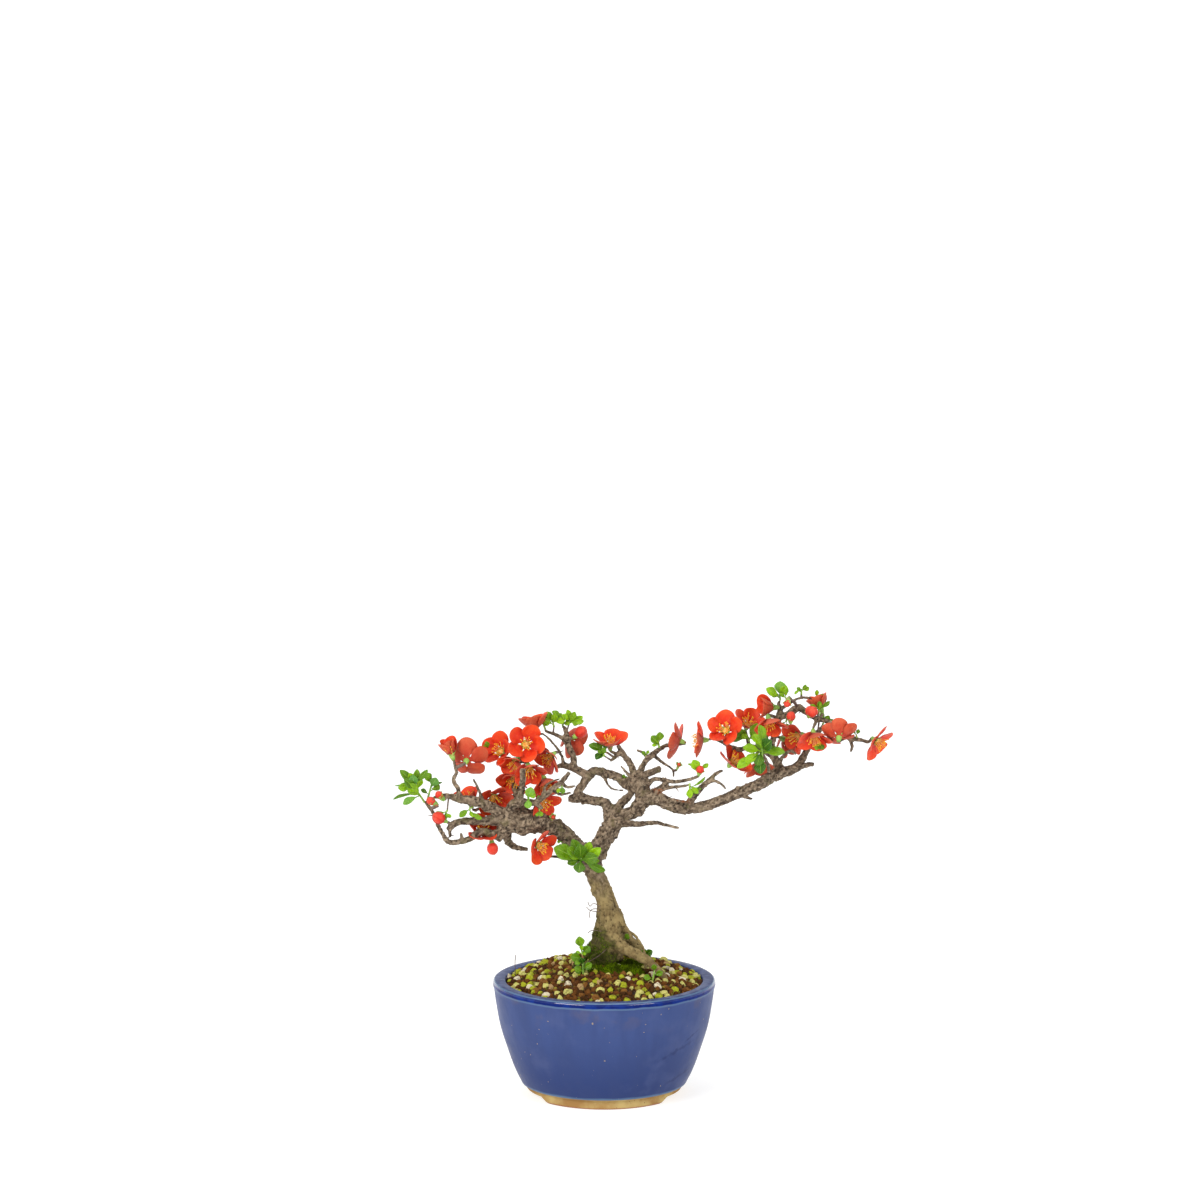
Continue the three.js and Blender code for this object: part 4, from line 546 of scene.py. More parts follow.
def add_disc(sheaf, rings, sides, middle, closing=None):
    """A round surface: its middle, its rings of corners from the inside out, and the point that
    closes it below, if there is one."""
    corners = [middle] + [corner for ring in rings for corner in ring]
    faces = [(0, 1 + i, 1 + (i + 1) % sides) for i in range(sides)]
    for k in range(len(rings) - 1):
        for i in range(sides):
            j = (i + 1) % sides
            a, b = 1 + k * sides, 1 + (k + 1) * sides
            faces.append((a + i, b + i, b + j, a + j))
    if closing:
        corners.append(closing)
        a = 1 + (len(rings) - 1) * sides
        faces.extend((len(corners) - 1, a + (i + 1) % sides, a + i) for i in range(sides))
    sheaf.add(corners, faces)


def round_ring(radius, height, sides):
    """The corners of a level ring about the pot's axis."""
    turns = [i * math.tau / sides for i in range(sides)]
    return [(radius * math.cos(turn), radius * math.sin(turn), height) for turn in turns]


def make_piece(name, mesh, nodes=()):
    """A finished piece, which rides on the one body and stands for the solids that are named."""
    piece = bpy.data.objects.new(name, mesh)
    bpy.context.scene.collection.objects.link(piece)
    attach(piece, "root")
    if nodes:
        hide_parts(*nodes)


def evaluated_mesh(helper):
    """The mesh that a helper object's modifiers give. The helper is removed."""
    bpy.context.view_layer.update()
    depsgraph = bpy.context.evaluated_depsgraph_get()
    result = bpy.data.meshes.new_from_object(
        helper.evaluated_get(depsgraph), preserve_all_data_layers=True, depsgraph=depsgraph)
    bpy.data.objects.remove(helper)
    return result


def helper_object(mesh):
    helper = bpy.data.objects.new(mesh.name + "_helper", mesh)
    bpy.context.scene.collection.objects.link(helper)
    return helper


def smooth_path(points, step):
    """Points of (x, y, z, radius) on a smooth curve through those given, about a step apart."""
    spots = [Vector(point) for point in points]
    if len(spots) == 2:
        spots = [spots[0], (spots[0] + spots[1]) / 2, spots[1]]
    ends = [spots[0] * 2 - spots[1], *spots, spots[-1] * 2 - spots[-2]]
    path = []
    for i in range(1, len(ends) - 2):
        a, b, c, d = ends[i - 1:i + 3]
        count = max(1, round((c - b).to_3d().length / step))
        for k in range(count):
            t = k / count
            spot = b * 2 + (c - a) * t + (a * 2 - b * 5 + c * 4 - d) * t * t
            path.append((spot + (b * 3 - a - c * 3 + d) * t ** 3) / 2)
    path.append(spots[-1])
    return path


def add_tube(sheaf, path, sides, slot=0, relief=0.0, draw=None):
    """A closed tube along points of (x, y, z, radius)."""
    corners, faces = [], []
    side = None
    last = len(path) - 1
    for k, spot in enumerate(path):
        along = (path[min(last, k + 1)] - path[max(0, k - 1)]).to_3d().normalized()
        if side is None:
            side = frame_along(along, 0)[0]
        side = (side - along * side.dot(along)).normalized()
        up = along.cross(side)
        for i in range(sides):
            angle = i * math.tau / sides
            radius = spot[3] * (1 + relief * (2 * draw() - 1) if draw else 1)
            corners.append(spot.to_3d() + (side * math.cos(angle) + up * math.sin(angle)) * radius)
    for k in range(last):
        for i in range(sides):
            j = (i + 1) % sides
            faces.append((k * sides + i, k * sides + j, (k + 1) * sides + j, (k + 1) * sides + i))
    corners.extend([path[0].to_3d(), path[-1].to_3d()])
    for i in range(sides):
        j = (i + 1) % sides
        faces.append((len(corners) - 2, j, i))
        faces.append((len(corners) - 1, last * sides + i, last * sides + j))
    sheaf.add(corners, faces, slot)


def add_blade(sheaf, place, outline, columns, thick, front, slots, tint):
    """A thin closed blade. `place(along, across)` is its middle surface, `outline` lists how wide
    it is at places along it up to its tip, and `front` is the side that gets the first slot."""
    steps = [2 * j / columns - 1 for j in range(columns + 1)]
    grid = [[place(u, w * half) for w in steps] for u, half in outline]
    tip = place(1, 0)
    rows = len(grid)
    normals = []
    for i in range(rows):
        before, after = grid[max(0, i - 1)], grid[min(rows - 1, i + 1)]
        row = []
        for j in range(columns + 1):
            across = grid[i][min(columns, j + 1)] - grid[i][max(0, j - 1)]
            row.append((after[j] - before[j]).cross(across).normalized())
        normals.append(row)
    flat = [point for row in grid for point in row] + [tip]
    out = [normal for row in normals for normal in row] + [normals[-1][columns // 2]]
    places = [((w + 1) / 2, u) for u, half in outline for w in steps] + [(0.5, 1.0)]
    count = len(flat)
    corners = [p + n * thick / 2 for p, n in zip(flat, out)]
    corners += [p - n * thick / 2 for p, n in zip(flat, out)]
    middle = (rows // 2) * (columns + 1) + columns // 2
    first, second = slots if out[middle].dot(front) > 0 else slots[::-1]
    faces, face_slots = [], []

    def add(face, slot):
        faces.append(face)
        face_slots.append(slot)

    wide = columns + 1
    for i in range(rows - 1):
        for j in range(columns):
            a, b = i * wide + j, (i + 1) * wide + j
            add((a, b, b + 1, a + 1), first)
            add((a + 1 + count, b + 1 + count, b + count, a + count), second)
        a, b = i * wide, (i + 1) * wide
        add((b, a, a + count, b + count), slots[1])
        a, b = a + columns, b + columns
        add((a, b, b + count, a + count), slots[1])
    for j in range(columns):
        a = (rows - 1) * wide + j
        add((a, count - 1, a + 1), first)
        add((a + 1 + count, 2 * count - 1, a + count), second)
        add((j, j + 1, j + 1 + count, j + count), slots[1])
    a = (rows - 1) * wide
    add((count - 1, a, a + count, 2 * count - 1), slots[1])
    add((a + columns, count - 1, 2 * count - 1, a + columns + count), slots[1])
    sheaf.add(corners, faces, face_slots, places + places, tint)


# Helpers for materials

def srgb(red, green, blue):
    """A colour as it looks in the photograph, as the shader's own numbers."""
    def linear(value):
        value /= 255
        return value / 12.92 if value <= 0.04045 else ((value + 0.055) / 1.055) ** 2.4
    return (linear(red), linear(green), linear(blue), 1.0)


def feed(tree, socket, value):
    """Sets a socket to a value, or joins it to another node's output."""
    if isinstance(value, bpy.types.NodeSocket):
        tree.links.new(value, socket)
    else:
        socket.default_value = value


def add_node(tree, kind, inputs=None, **settings):
    """A node with its settings, whose inputs are values or other nodes' outputs."""
    made = tree.nodes.new(kind)
    for key, value in settings.items():
        setattr(made, key, value)
    for key, value in (inputs or {}).items():
        feed(tree, made.inputs[key], value)
    return made


def math_node(tree, operation, first, second=0.0, third=0.0, clamp=False):
    node = add_node(tree, "ShaderNodeMath", {0: first, 1: second, 2: third}, operation=operation)
    node.use_clamp = clamp
    return node.outputs[0]


def new_group(name, inputs, outputs):
    """An empty shader node group with its sockets, and its input and output nodes."""
    group = bpy.data.node_groups.new(name, "ShaderNodeTree")
    for label, value in inputs.items():
        kind = "NodeSocketVector" if value is None else "NodeSocketFloat"
        socket = group.interface.new_socket(label, in_out="INPUT", socket_type=kind)
        if value is not None:
            socket.default_value = value
    for label in outputs:
        group.interface.new_socket(label, in_out="OUTPUT", socket_type="NodeSocketFloat")
    return group, group.nodes.new("NodeGroupInput"), group.nodes.new("NodeGroupOutput")


def make_mottle_group():
    """Soft patches: a mask from noise between two limits."""
    group, given, result = new_group(
        "mottle", {"Vector": None, "Scale": 100.0, "Detail": 3.0, "Low": 0.4, "High": 0.6}, ["Mask"])
    noisy = {label: given.outputs[label] for label in ("Vector", "Scale", "Detail")}
    patches = add_node(group, "ShaderNodeTexNoise", noisy)
    limits = add_node(group, "ShaderNodeMapRange", {
        "Value": patches.outputs["Fac"], "From Min": given.outputs["Low"],
        "From Max": given.outputs["High"]}, interpolation_type="SMOOTHSTEP")
    group.links.new(limits.outputs["Result"], result.inputs["Mask"])
    return group


def make_vein_group():
    """The veins of a blade, from its own UV map: a midrib, and side veins that lean forward."""
    group, given, result = new_group(
        "blade_veins", {"Count": 7.0, "Slant": 0.35, "Midrib": 0.05, "Vein": 0.16},
        ["Midrib", "Veins", "Along"])
    place = add_node(group, "ShaderNodeUVMap", uv_map="blade")
    split = add_node(group, "ShaderNodeSeparateXYZ", {"Vector": place.outputs["UV"]})
    centred = math_node(group, "SUBTRACT", split.outputs["X"], 0.5)
    across = math_node(group, "MULTIPLY", math_node(group, "ABSOLUTE", centred), 2.0)
    along = split.outputs["Y"]
    lean = math_node(group, "MULTIPLY", across, given.outputs["Slant"])
    turn = math_node(group, "MULTIPLY", math_node(group, "SUBTRACT", along, lean), given.outputs["Count"])
    off_line = math_node(group, "SUBTRACT", math_node(group, "FRACT", turn), 0.5)
    off_line = math_node(group, "ABSOLUTE", off_line)
    for label, value, width in (("Midrib", across, "Midrib"), ("Veins", off_line, "Vein")):
        share = math_node(group, "DIVIDE", value, given.outputs[width])
        line = math_node(group, "SUBTRACT", 1.0, share, clamp=True)
        group.links.new(line, result.inputs[label])
    group.links.new(along, result.inputs["Along"])
    return group


MOTTLE = make_mottle_group()
BLADE_VEINS = make_vein_group()


class Paint:
    """A material with one plain shader while it is painted. `colour` is what is on it so far, and
    `place` is each point's place in the frame. A shade is (red, green, blue) from 0 to 255."""

    def __init__(self, name, **values):
        self.material = bpy.data.materials.new(name)
        self.material.use_nodes = True
        self.tree = self.material.node_tree
        self.shader = self.tree.nodes["Principled BSDF"]
        for label, value in values.items():
            self.shader.inputs[label.replace("_", " ")].default_value = value
        self.place = self.node("ShaderNodeTexCoord").outputs["Object"]
        self.colour = None

    def node(self, kind, inputs=None, **settings):
        return add_node(self.tree, kind, inputs, **settings)

    def math(self, operation, first, second=0.0, third=0.0):
        return math_node(self.tree, operation, first, second, third)

    def times(self, first, second):
        return self.math("MULTIPLY", first, second)

    def axes(self, place):
        """The three numbers of a place."""
        return self.node("ShaderNodeSeparateXYZ", {"Vector": place}).outputs

    def radius(self, x, y):
        return self.math("SQRT", self.math("MULTIPLY_ADD", x, x, self.times(y, y)))

    def tint(self):
        return self.node("ShaderNodeAttribute", attribute_name="tint").outputs["Fac"]

    def mask(self, value, low, high):
        """0 below `low`, 1 above `high`, and smooth between. Swapped limits turn it round."""
        limits = {"Value": value, "From Min": min(low, high), "From Max": max(low, high)}
        if low > high:
            limits.update({"To Min": 1.0, "To Max": 0.0})
        return self.node("ShaderNodeMapRange", limits, interpolation_type="SMOOTHSTEP").outputs["Result"]

    def patches(self, scale, low, high, detail=3.0, place=None):
        """Soft patches, as many as `scale` to the metre."""
        given = {"Scale": scale, "Detail": detail, "Low": low, "High": high}
        given["Vector"] = self.place if place is None else place
        return self.node("ShaderNodeGroup", given, node_tree=MOTTLE).outputs["Mask"]

    def veins(self, count, slant, midrib, vein):
        given = {"Count": count, "Slant": slant, "Midrib": midrib, "Vein": vein}
        return self.node("ShaderNodeGroup", given, node_tree=BLADE_VEINS).outputs

    def drawn_out(self, share):
        """The places that make patches long and upright."""
        return self.node("ShaderNodeMapping", {
            "Vector": self.place, "Scale": (1.0, 1.0, share)}).outputs["Vector"]

    def streak(self, place, middle, lean, half, width):
        """A ragged streak about a middle, seen from the front, that leans from level by degrees."""
        turn = math.radians(lean)
        laid = self.node("ShaderNodeMapping", {
            "Vector": place, "Rotation": (0.0, turn, 0.0),
            "Location": -(Matrix.Rotation(turn, 3, "Y") @ middle)})
        x, _, z = self.axes(laid.outputs["Vector"])
        ragged = self.times(self.patches(260, 0.3, 0.7, 3, place), width * 0.7 * MM)
        off = self.math("ADD", self.math("ABSOLUTE", z), ragged)
        across = self.mask(off, width * MM, width * 0.35 * MM)
        return self.times(across, self.mask(self.math("ABSOLUTE", x), half * MM, half * 0.4 * MM))

    def between(self, amount, first, second):
        """The first colour, turning into the second as `amount` goes to 1."""
        node = self.node("ShaderNodeMix", data_type="RGBA")
        for index, value in ((0, amount), (6, first), (7, second)):
            feed(self.tree, node.inputs[index], srgb(*value) if isinstance(value, tuple) else value)
        return node.outputs[2]

    def ground(self, amount, first, second):
        """Covers everything with the first colour, turning into the second."""
        self.colour = self.between(amount, first, second)

    def over(self, amount, shade, share=1.0):
        """Paints a shade over what is there, as strong as `amount` and the share of it."""
        amount = amount if share == 1.0 else self.times(amount, share)
        self.colour = self.between(amount, self.colour, shade)

    def done(self, height=None, strength=0.0, distance=0.0):
        """The finished material, with the relief that `height` gives."""
        self.tree.links.new(self.colour, self.shader.inputs["Base Color"])
        if height is not None:
            raised = {"Height": height, "Strength": strength, "Distance": distance}
            relief = self.node("ShaderNodeBump", raised)
            self.tree.links.new(relief.outputs["Normal"], self.shader.inputs["Normal"])
        return self.material


# Materials

def bark_material():
    """Furrowed grey-brown bark with lichen and pale flecks, and smooth tan wood at the foot, both with
    painted shade in their furrows and painted light on their ridges.
    """
    paint = Paint("quince_bark", Roughness=0.88, Specular_IOR_Level=0.2)
    x, _, height = paint.axes(paint.place)
    # Painted shade in the furrows and painted light on the ridges, from each point's height in the bark.
    furrow_shade_ridge_light = paint.mask(paint.tint(), 0.1, 0.95)
    paint.ground(furrow_shade_ridge_light, (46, 38, 32), (156, 138, 117))
    paint.over(paint.patches(420, 0.35, 0.65, 5), (82, 66, 52), 0.55)
    paint.over(paint.patches(130, 0.54, 0.7, 4), (98, 92, 60), 0.6)
    paint.over(paint.patches(900, 0.66, 0.74, 2), (164, 152, 132), 0.6)
    paint.over(paint.patches(650, 0.37, 0.3, 3), (40, 32, 28))
    grey = paint.colour
    drawn = paint.drawn_out(0.35)
    paint.ground(paint.patches(330, 0.35, 0.68, 5, drawn), (100, 84, 54), (142, 126, 86))
    # Painted light on the ridges of the tan wood.
    paint.over(furrow_shade_ridge_light, (150, 130, 88), 0.5)
    paint.over(paint.patches(900, 0.64, 0.72, 2, drawn), (74, 56, 36))
    # Painted shade in the deepest furrows of the tan wood.
    paint.over(paint.mask(paint.tint(), 0.22, 0.0), (58, 44, 26))
    wander = paint.math("MULTIPLY_ADD", paint.patches(60, 0.3, 0.7), 0.022, height)
    paint.ground(paint.mask(wander, 0.172, 0.138), grey, paint.colour)
    leftward = paint.math("MULTIPLY_ADD", height, -0.4, POT_AXIS.x + 0.046)
    leftward = paint.math("SUBTRACT", leftward, x)
    damp = paint.math("MULTIPLY_ADD", paint.patches(150, 0.3, 0.7, 3), 0.008, leftward)
    mossy = paint.times(paint.mask(damp, 0.0, 0.006), paint.mask(wander, 0.134, 0.122))
    paint.over(mossy, paint.between(paint.patches(420, 0.35, 0.65, 3), (38, 34, 16), (74, 78, 24)), 0.85)
    middle, lean, half, width = RUST
    rust = paint.streak(paint.place, in_frame(middle), lean, half, width)
    paint.over(paint.times(rust, paint.patches(500, 0.36, 0.56)), (128, 66, 30))
    coarse = paint.node("ShaderNodeTexNoise", {"Vector": paint.place, "Scale": 620.0, "Detail": 6.0})
    return paint.done(coarse.outputs["Fac"], 0.9, 0.0012)


def twig_material():
    paint = Paint("young_twig", Roughness=0.7)
    paint.ground(paint.patches(500, 0.35, 0.65, 4), (72, 54, 46), (118, 100, 90))
    paint.over(paint.patches(1400, 0.64, 0.7, 2), (170, 160, 148), 0.6)
    rough = paint.node("ShaderNodeTexNoise", {"Vector": paint.place, "Scale": 1200.0, "Detail": 4.0})
    return paint.done(rough.outputs["Fac"], 0.6, 0.0005)


def petal_material(name, throat, middle, margin, roughness, vein_depth):
    """A petal's one face: deeper in the throat, lighter towards the margin, with fine veins."""
    paint = Paint(name, Roughness=roughness, Specular_IOR_Level=0.25, Sheen_Weight=0.08,
                  Subsurface_Weight=0.12, Subsurface_Radius=(0.0008, 0.0003, 0.0002))
    lines = paint.veins(9.0, 0.9, 0.06, 0.34)
    paint.ground(paint.mask(lines["Along"], 0.12, 0.62), throat, middle)
    paint.over(paint.mask(lines["Along"], 0.55, 1.0), margin, 0.55)
    paint.over(paint.patches(260, 0.4, 0.68, 4), margin, 0.4)
    paint.over(lines["Veins"], throat, vein_depth)
    paint.over(paint.tint(), throat, 0.35)
    return paint.done(paint.math("ADD", paint.patches(700, 0.3, 0.7), lines["Veins"]), 0.25, 0.0003)


def leaf_material(name, deep, bright, rib, roughness):
    """One face of a leaf: its tint runs from deep to bright green, with paler veins."""
    paint = Paint(name, Roughness=roughness, Specular_IOR_Level=0.26,
                  Subsurface_Weight=0.15, Subsurface_Radius=(0.0003, 0.0008, 0.0001))
    lines = paint.veins(7.0, 0.42, 0.07, 0.1)
    paint.ground(paint.tint(), deep, bright)
    paint.over(paint.patches(300, 0.4, 0.7, 3), deep, 0.3)
    ribs = paint.math("MAXIMUM", lines["Midrib"], paint.times(lines["Veins"], 0.45))
    paint.over(ribs, rib, 0.7)
    return paint.done(paint.math("SUBTRACT", paint.patches(900, 0.3, 0.7), ribs), 0.45, 0.0004)


def calyx_material():
    paint = Paint("calyx_green", Roughness=0.5)
    paint.ground(paint.patches(220, 0.42, 0.62, 3), (148, 186, 84), (112, 150, 62))
    paint.over(paint.patches(130, 0.58, 0.7, 2), (150, 84, 58))
    return paint.done(paint.patches(1100, 0.3, 0.7), 0.3, 0.0003)


def powder_material(name, first, second, scale, roughness):
    """Fine powdery stuff, such as anthers, in two shades."""
    paint = Paint(name, Roughness=roughness)
    paint.ground(paint.patches(scale, 0.4, 0.6, 2), first, second)
    return paint.done(paint.patches(scale * 3, 0.3, 0.7), 0.4, 0.0002)


def glaze_material():
    """Blue glaze: satin on the body, with painted shade that darkens it towards the foot, thick, dark and
    glossy on the lip, and pale over edges.
    """
    paint = Paint("blue_glaze", Coat_Roughness=0.05, Specular_IOR_Level=0.06)
    shifted = paint.node("ShaderNodeMapping", {"Vector": paint.place, "Location": -POT_AXIS})
    centred = shifted.outputs["Vector"]
    x, y, height = paint.axes(centred)
    radius = paint.radius(x, y)
    streaked = paint.drawn_out(0.16)
    # Painted shade: the body's blue is darker towards the foot and lighter towards the lip.
    paint.ground(paint.mask(height, 0.012, 0.062), (44, 59, 106), (58, 74, 122))
    paint.over(paint.patches(110, 0.35, 0.7, 4, streaked), (50, 63, 106), 0.45)
    paint.over(paint.patches(45, 0.5, 0.7, 3), (75, 86, 128), 0.35)
    rust = paint.times(paint.mask(height, 0.05, 0.07), paint.patches(60, 0.56, 0.7, 6))
    paint.over(rust, (98, 84, 80), 0.2)
    paint.over(paint.patches(420, 0.77, 0.8, 1), (140, 128, 112))
    front = paint.times(paint.mask(y, 0.0, -0.01), 0.5)
    for right, up, lean, half, width in SCUFFS:
        scuff = paint.streak(centred, Vector((right, 0, up)) * MM, lean, half, width)
        paint.over(paint.times(scuff, front), (34, 44, 84))
    body = paint.colour
    lip = paint.between(paint.patches(150, 0.4, 0.65, 3), (3, 26, 96), (6, 40, 118))
    wavy = paint.math("MULTIPLY_ADD", paint.patches(60, 0.2, 0.8, 3, streaked), 0.0007, height)
    on_lip = paint.mask(wavy, 0.0733, 0.0742)
    paint.ground(on_lip, body, lip)
    inward = paint.times(paint.mask(radius, 0.0744, 0.0736), paint.mask(height, 0.0752, 0.0762))
    paint.over(inward, paint.between(paint.patches(190, 0.35, 0.7, 4), (48, 60, 104), (76, 90, 132)))
    below_lip = paint.times(paint.mask(wavy, 0.0722, 0.0730), paint.mask(wavy, 0.0741, 0.0734))
    at_edge = paint.times(paint.mask(height, 0.0760, 0.0765), paint.mask(radius, 0.0733, 0.0739))
    at_foot = paint.mask(wavy, 0.0096, 0.0080)
    for edge, share in ((below_lip, 0.42), (at_edge, 0.6), (at_foot, 0.6)):
        paint.over(edge, (98, 128, 156), share)
    uneven = paint.patches(70, 0.3, 0.7, 2)
    satin = paint.math("MULTIPLY_ADD", uneven, 0.1, 0.36)
    band = paint.times(on_lip, paint.math("SUBTRACT", 1.0, inward))
    crest = paint.times(band, paint.mask(height, 0.0748, 0.0758))
    feed(paint.tree, paint.shader.inputs["Roughness"], paint.math("MULTIPLY_ADD", band, -0.2, satin))
    feed(paint.tree, paint.shader.inputs["Coat Weight"], paint.math("MULTIPLY_ADD", crest, 0.85, 0.06))
    return paint.done(uneven, 0.2, 0.0005)


def clay_material():
    paint = Paint("bare_clay", Roughness=0.82)
    _, _, height = paint.axes(paint.place)
    paint.ground(paint.patches(55, 0.38, 0.62, 4), (180, 156, 98), (148, 110, 56))
    paint.over(paint.patches(900, 0.67, 0.75, 2), (112, 80, 48))
    paint.over(paint.mask(height, 0.0012, 0.0004), (140, 88, 60))
    return paint.done(paint.patches(1400, 0.3, 0.7, 3), 0.4, 0.0003)


def bed_material():
    paint = Paint("damp_soil", Roughness=0.97)
    paint.ground(paint.patches(500, 0.35, 0.65, 4), (38, 24, 14), (84, 52, 30))
    return paint.done(paint.patches(800, 0.2, 0.8, 4), 0.9, 0.001)


def grain_material():
    """Baked brown clay and pale pumice, told apart by each grain's tint."""
    paint = Paint("grit", Roughness=0.94, Specular_IOR_Level=0.15)
    ramp = paint.node("ShaderNodeValToRGB", {"Fac": paint.tint()})
    ramp.color_ramp.interpolation = "CONSTANT"
    while len(ramp.color_ramp.elements) < len(GRAIN_SHADES):
        ramp.color_ramp.elements.new(0.5)
    for element, (position, shade) in zip(ramp.color_ramp.elements, GRAIN_SHADES):
        element.position = position
        element.color = srgb(*shade)
    paint.colour = ramp.outputs["Color"]
    paint.over(paint.patches(420, 0.5, 0.7, 4), (62, 40, 20), 0.55)
    paint.over(paint.patches(190, 0.6, 0.72, 3), (158, 168, 60), 0.5)
    return paint.done(paint.patches(1500, 0.2, 0.8, 4), 0.8, 0.0006)


def moss_material():
    paint = Paint("moss", Roughness=0.9, Specular_IOR_Level=0.1)
    paint.ground(paint.tint(), (34, 56, 0), (124, 152, 2))
    paint.over(paint.patches(90, 0.4, 0.65, 3), (46, 58, 2))
    return paint.done()


def mesh_plastic_material():
    paint = Paint("mesh_plastic", Roughness=0.55)
    paint.ground(paint.patches(300, 0.4, 0.6), (28, 30, 32), (44, 46, 48))
    return paint.done(paint.patches(2000, 0.3, 0.7), 0.2, 0.0002)


BARK = bark_material()
TWIG = twig_material()
PETAL_FRONT = petal_material("petal_front", (192, 16, 0), (217, 51, 7), (235, 96, 38), 0.42, 0.35)
PETAL_BACK = petal_material("petal_back", (160, 40, 16), (188, 68, 36), (211, 105, 68), 0.55, 0.4)
BUD_RED = petal_material("bud_red", (186, 28, 14), (206, 54, 34), (226, 94, 68), 0.45, 0.2)
LEAF_FRONT = leaf_material("leaf_front", (4, 70, 4), (136, 180, 6), (158, 198, 76), 0.3)
LEAF_BACK = leaf_material("leaf_back", (60, 120, 56), (122, 168, 44), (158, 196, 118), 0.5)
CALYX = calyx_material()
ANTHER = powder_material("anther", (246, 194, 30), (222, 150, 14), 900, 0.75)
FILAMENT = powder_material("filament", (246, 208, 126), (236, 172, 70), 400, 0.5)
MOSS = moss_material()
GRIT = grain_material()
GLAZE = glaze_material()
CLAY = clay_material()


# Pot

def turned_mesh(name, profile, sides, materials):
    """A closed outline of (radius, height) turned about the pot's axis."""
    sheaf = Sheaf()
    corners, faces = [], []
    for i in range(sides):
        angle = i * math.tau / sides
        corners.extend((r * math.cos(angle), r * math.sin(angle), z) for r, z in profile)
    count = len(profile)
    for i in range(sides):
        j = (i + 1) % sides
        for k in range(count):
            m = (k + 1) % count
            faces.append((i * count + k, j * count + k, j * count + m, i * count + m))
    sheaf.add(corners, faces)
    return sheaf.mesh(name, materials)


def pot_profile():
    """Foot ring, bowl, rounded lip and hollow, as the outline that was turned."""
    ring = FOOT_RADIUS - FOOT_RING
    inner = RIM_RADIUS - RIM_WIDTH
    foot = [(ring, 0.5), (ring + 0.5, 0), (FOOT_RADIUS - 0.6, 0), (FOOT_RADIUS, 0.6),
            (FOOT_RADIUS, FOOT_HEIGHT - 1), (FOOT_RADIUS + 0.4, FOOT_HEIGHT - 0.5), (54.6, FOOT_HEIGHT)]
    bowl = [(55.7, 7.2), (60.7, 17.5), (65.3, 30.5), (70.1, 46), (73.0, 62), (74.0, LIP_FOOT - 1.6)]
    curve = smooth_path([(r, 0, z, 0) for r, z in bowl], 2.2)
    walls = [(spot.x, spot.z) for spot in curve]
    lip = [(74.1, LIP_FOOT), (74.5, LIP_FOOT + 0.8), (74.8, LIP_FOOT + 1.9), (RIM_RADIUS, 73.6),
           (RIM_RADIUS, 75.2),
           (74.6, 76.4), (73.7, POT_HEIGHT), (71, POT_HEIGHT), (68.2, POT_HEIGHT - 0.1), (67, 76.7),
           (inner, 76.1)]
    inside = [(inner, 70), (inner, 60), (inner - 2.6, 48), (inner - 6, 36), (48, 16), (44, FLOOR_TOP)]
    floor = [(26, FLOOR_TOP), (DRAIN_RADIUS + 0.5, FLOOR_TOP), (DRAIN_RADIUS, FLOOR_TOP - 0.5),
             (DRAIN_RADIUS, FOOT_HEIGHT + 0.4), (DRAIN_RADIUS + 0.4, FOOT_HEIGHT), (26, FOOT_HEIGHT),
             (ring, FOOT_HEIGHT)]
    return foot + walls + lip + inside + floor


def notch_boxes():
    """The blocks that are cut from the foot, so that water runs out."""
    sheaf = Sheaf()
    deep, wide, high = FOOT_RING * 1.5, NOTCH_WIDTH / 2, NOTCH_HEIGHT
    faces = [(0, 2, 3, 1), (4, 5, 7, 6), (0, 1, 5, 4), (2, 6, 7, 3), (0, 4, 6, 2), (1, 3, 7, 5)]
    for degrees in NOTCH_TURNS:
        turn = Matrix.Rotation(math.radians(degrees), 3, "Z")
        corners = [turn @ Vector((FOOT_RADIUS + x * deep, y * (wide - NOTCH_SLOPE * high * z), z * high))
                   for z in (-1, 1) for y in (-1, 1) for x in (-1, 1)]
        sheaf.add(corners, faces)
    return sheaf.mesh("notches", [CLAY])


def make_pot():
    turned = helper_object(turned_mesh("pot_body", pot_profile(), POT_SIDES, [GLAZE, CLAY]))
    notches = helper_object(notch_boxes())
    cut = turned.modifiers.new("notches", "BOOLEAN")
    cut.operation = "DIFFERENCE"
    cut.solver = "EXACT"
    cut.object = notches
    mesh = evaluated_mesh(turned)
    bpy.data.objects.remove(notches)
    bare = (FOOT_HEIGHT + 0.6) * MM
    for face in mesh.polygons:
        face.material_index = 1 if face.center.z - POT_AXIS.z < bare else 0
        face.use_smooth = True
    mesh.set_sharp_from_angle(angle=math.radians(40))
    make_piece("pot_glazed", mesh, ["pot"])


# Soil

def soil_height(x, y):
    """The soil's domed top, with low heaps, a little higher at the back than at the front."""
    inner = RIM_RADIUS - RIM_WIDTH - 0.3
    part = min(1, math.hypot(x, y) / inner)
    dome = SOIL_CROWN - (SOIL_CROWN - SOIL_EDGE) * (0.25 * part + 0.75 * part * part)
    heap = SOIL_HEAP * noise.noise(Vector((x * 0.07, y * 0.07, 3.1)))
    heap += SOIL_BACK * max(0, min(1, y / 40))
    dome -= SOIL_FRONT * max(0, min(1, -y / 40)) * part ** 4
    return dome + heap * min(1, 5 * (1 - part))


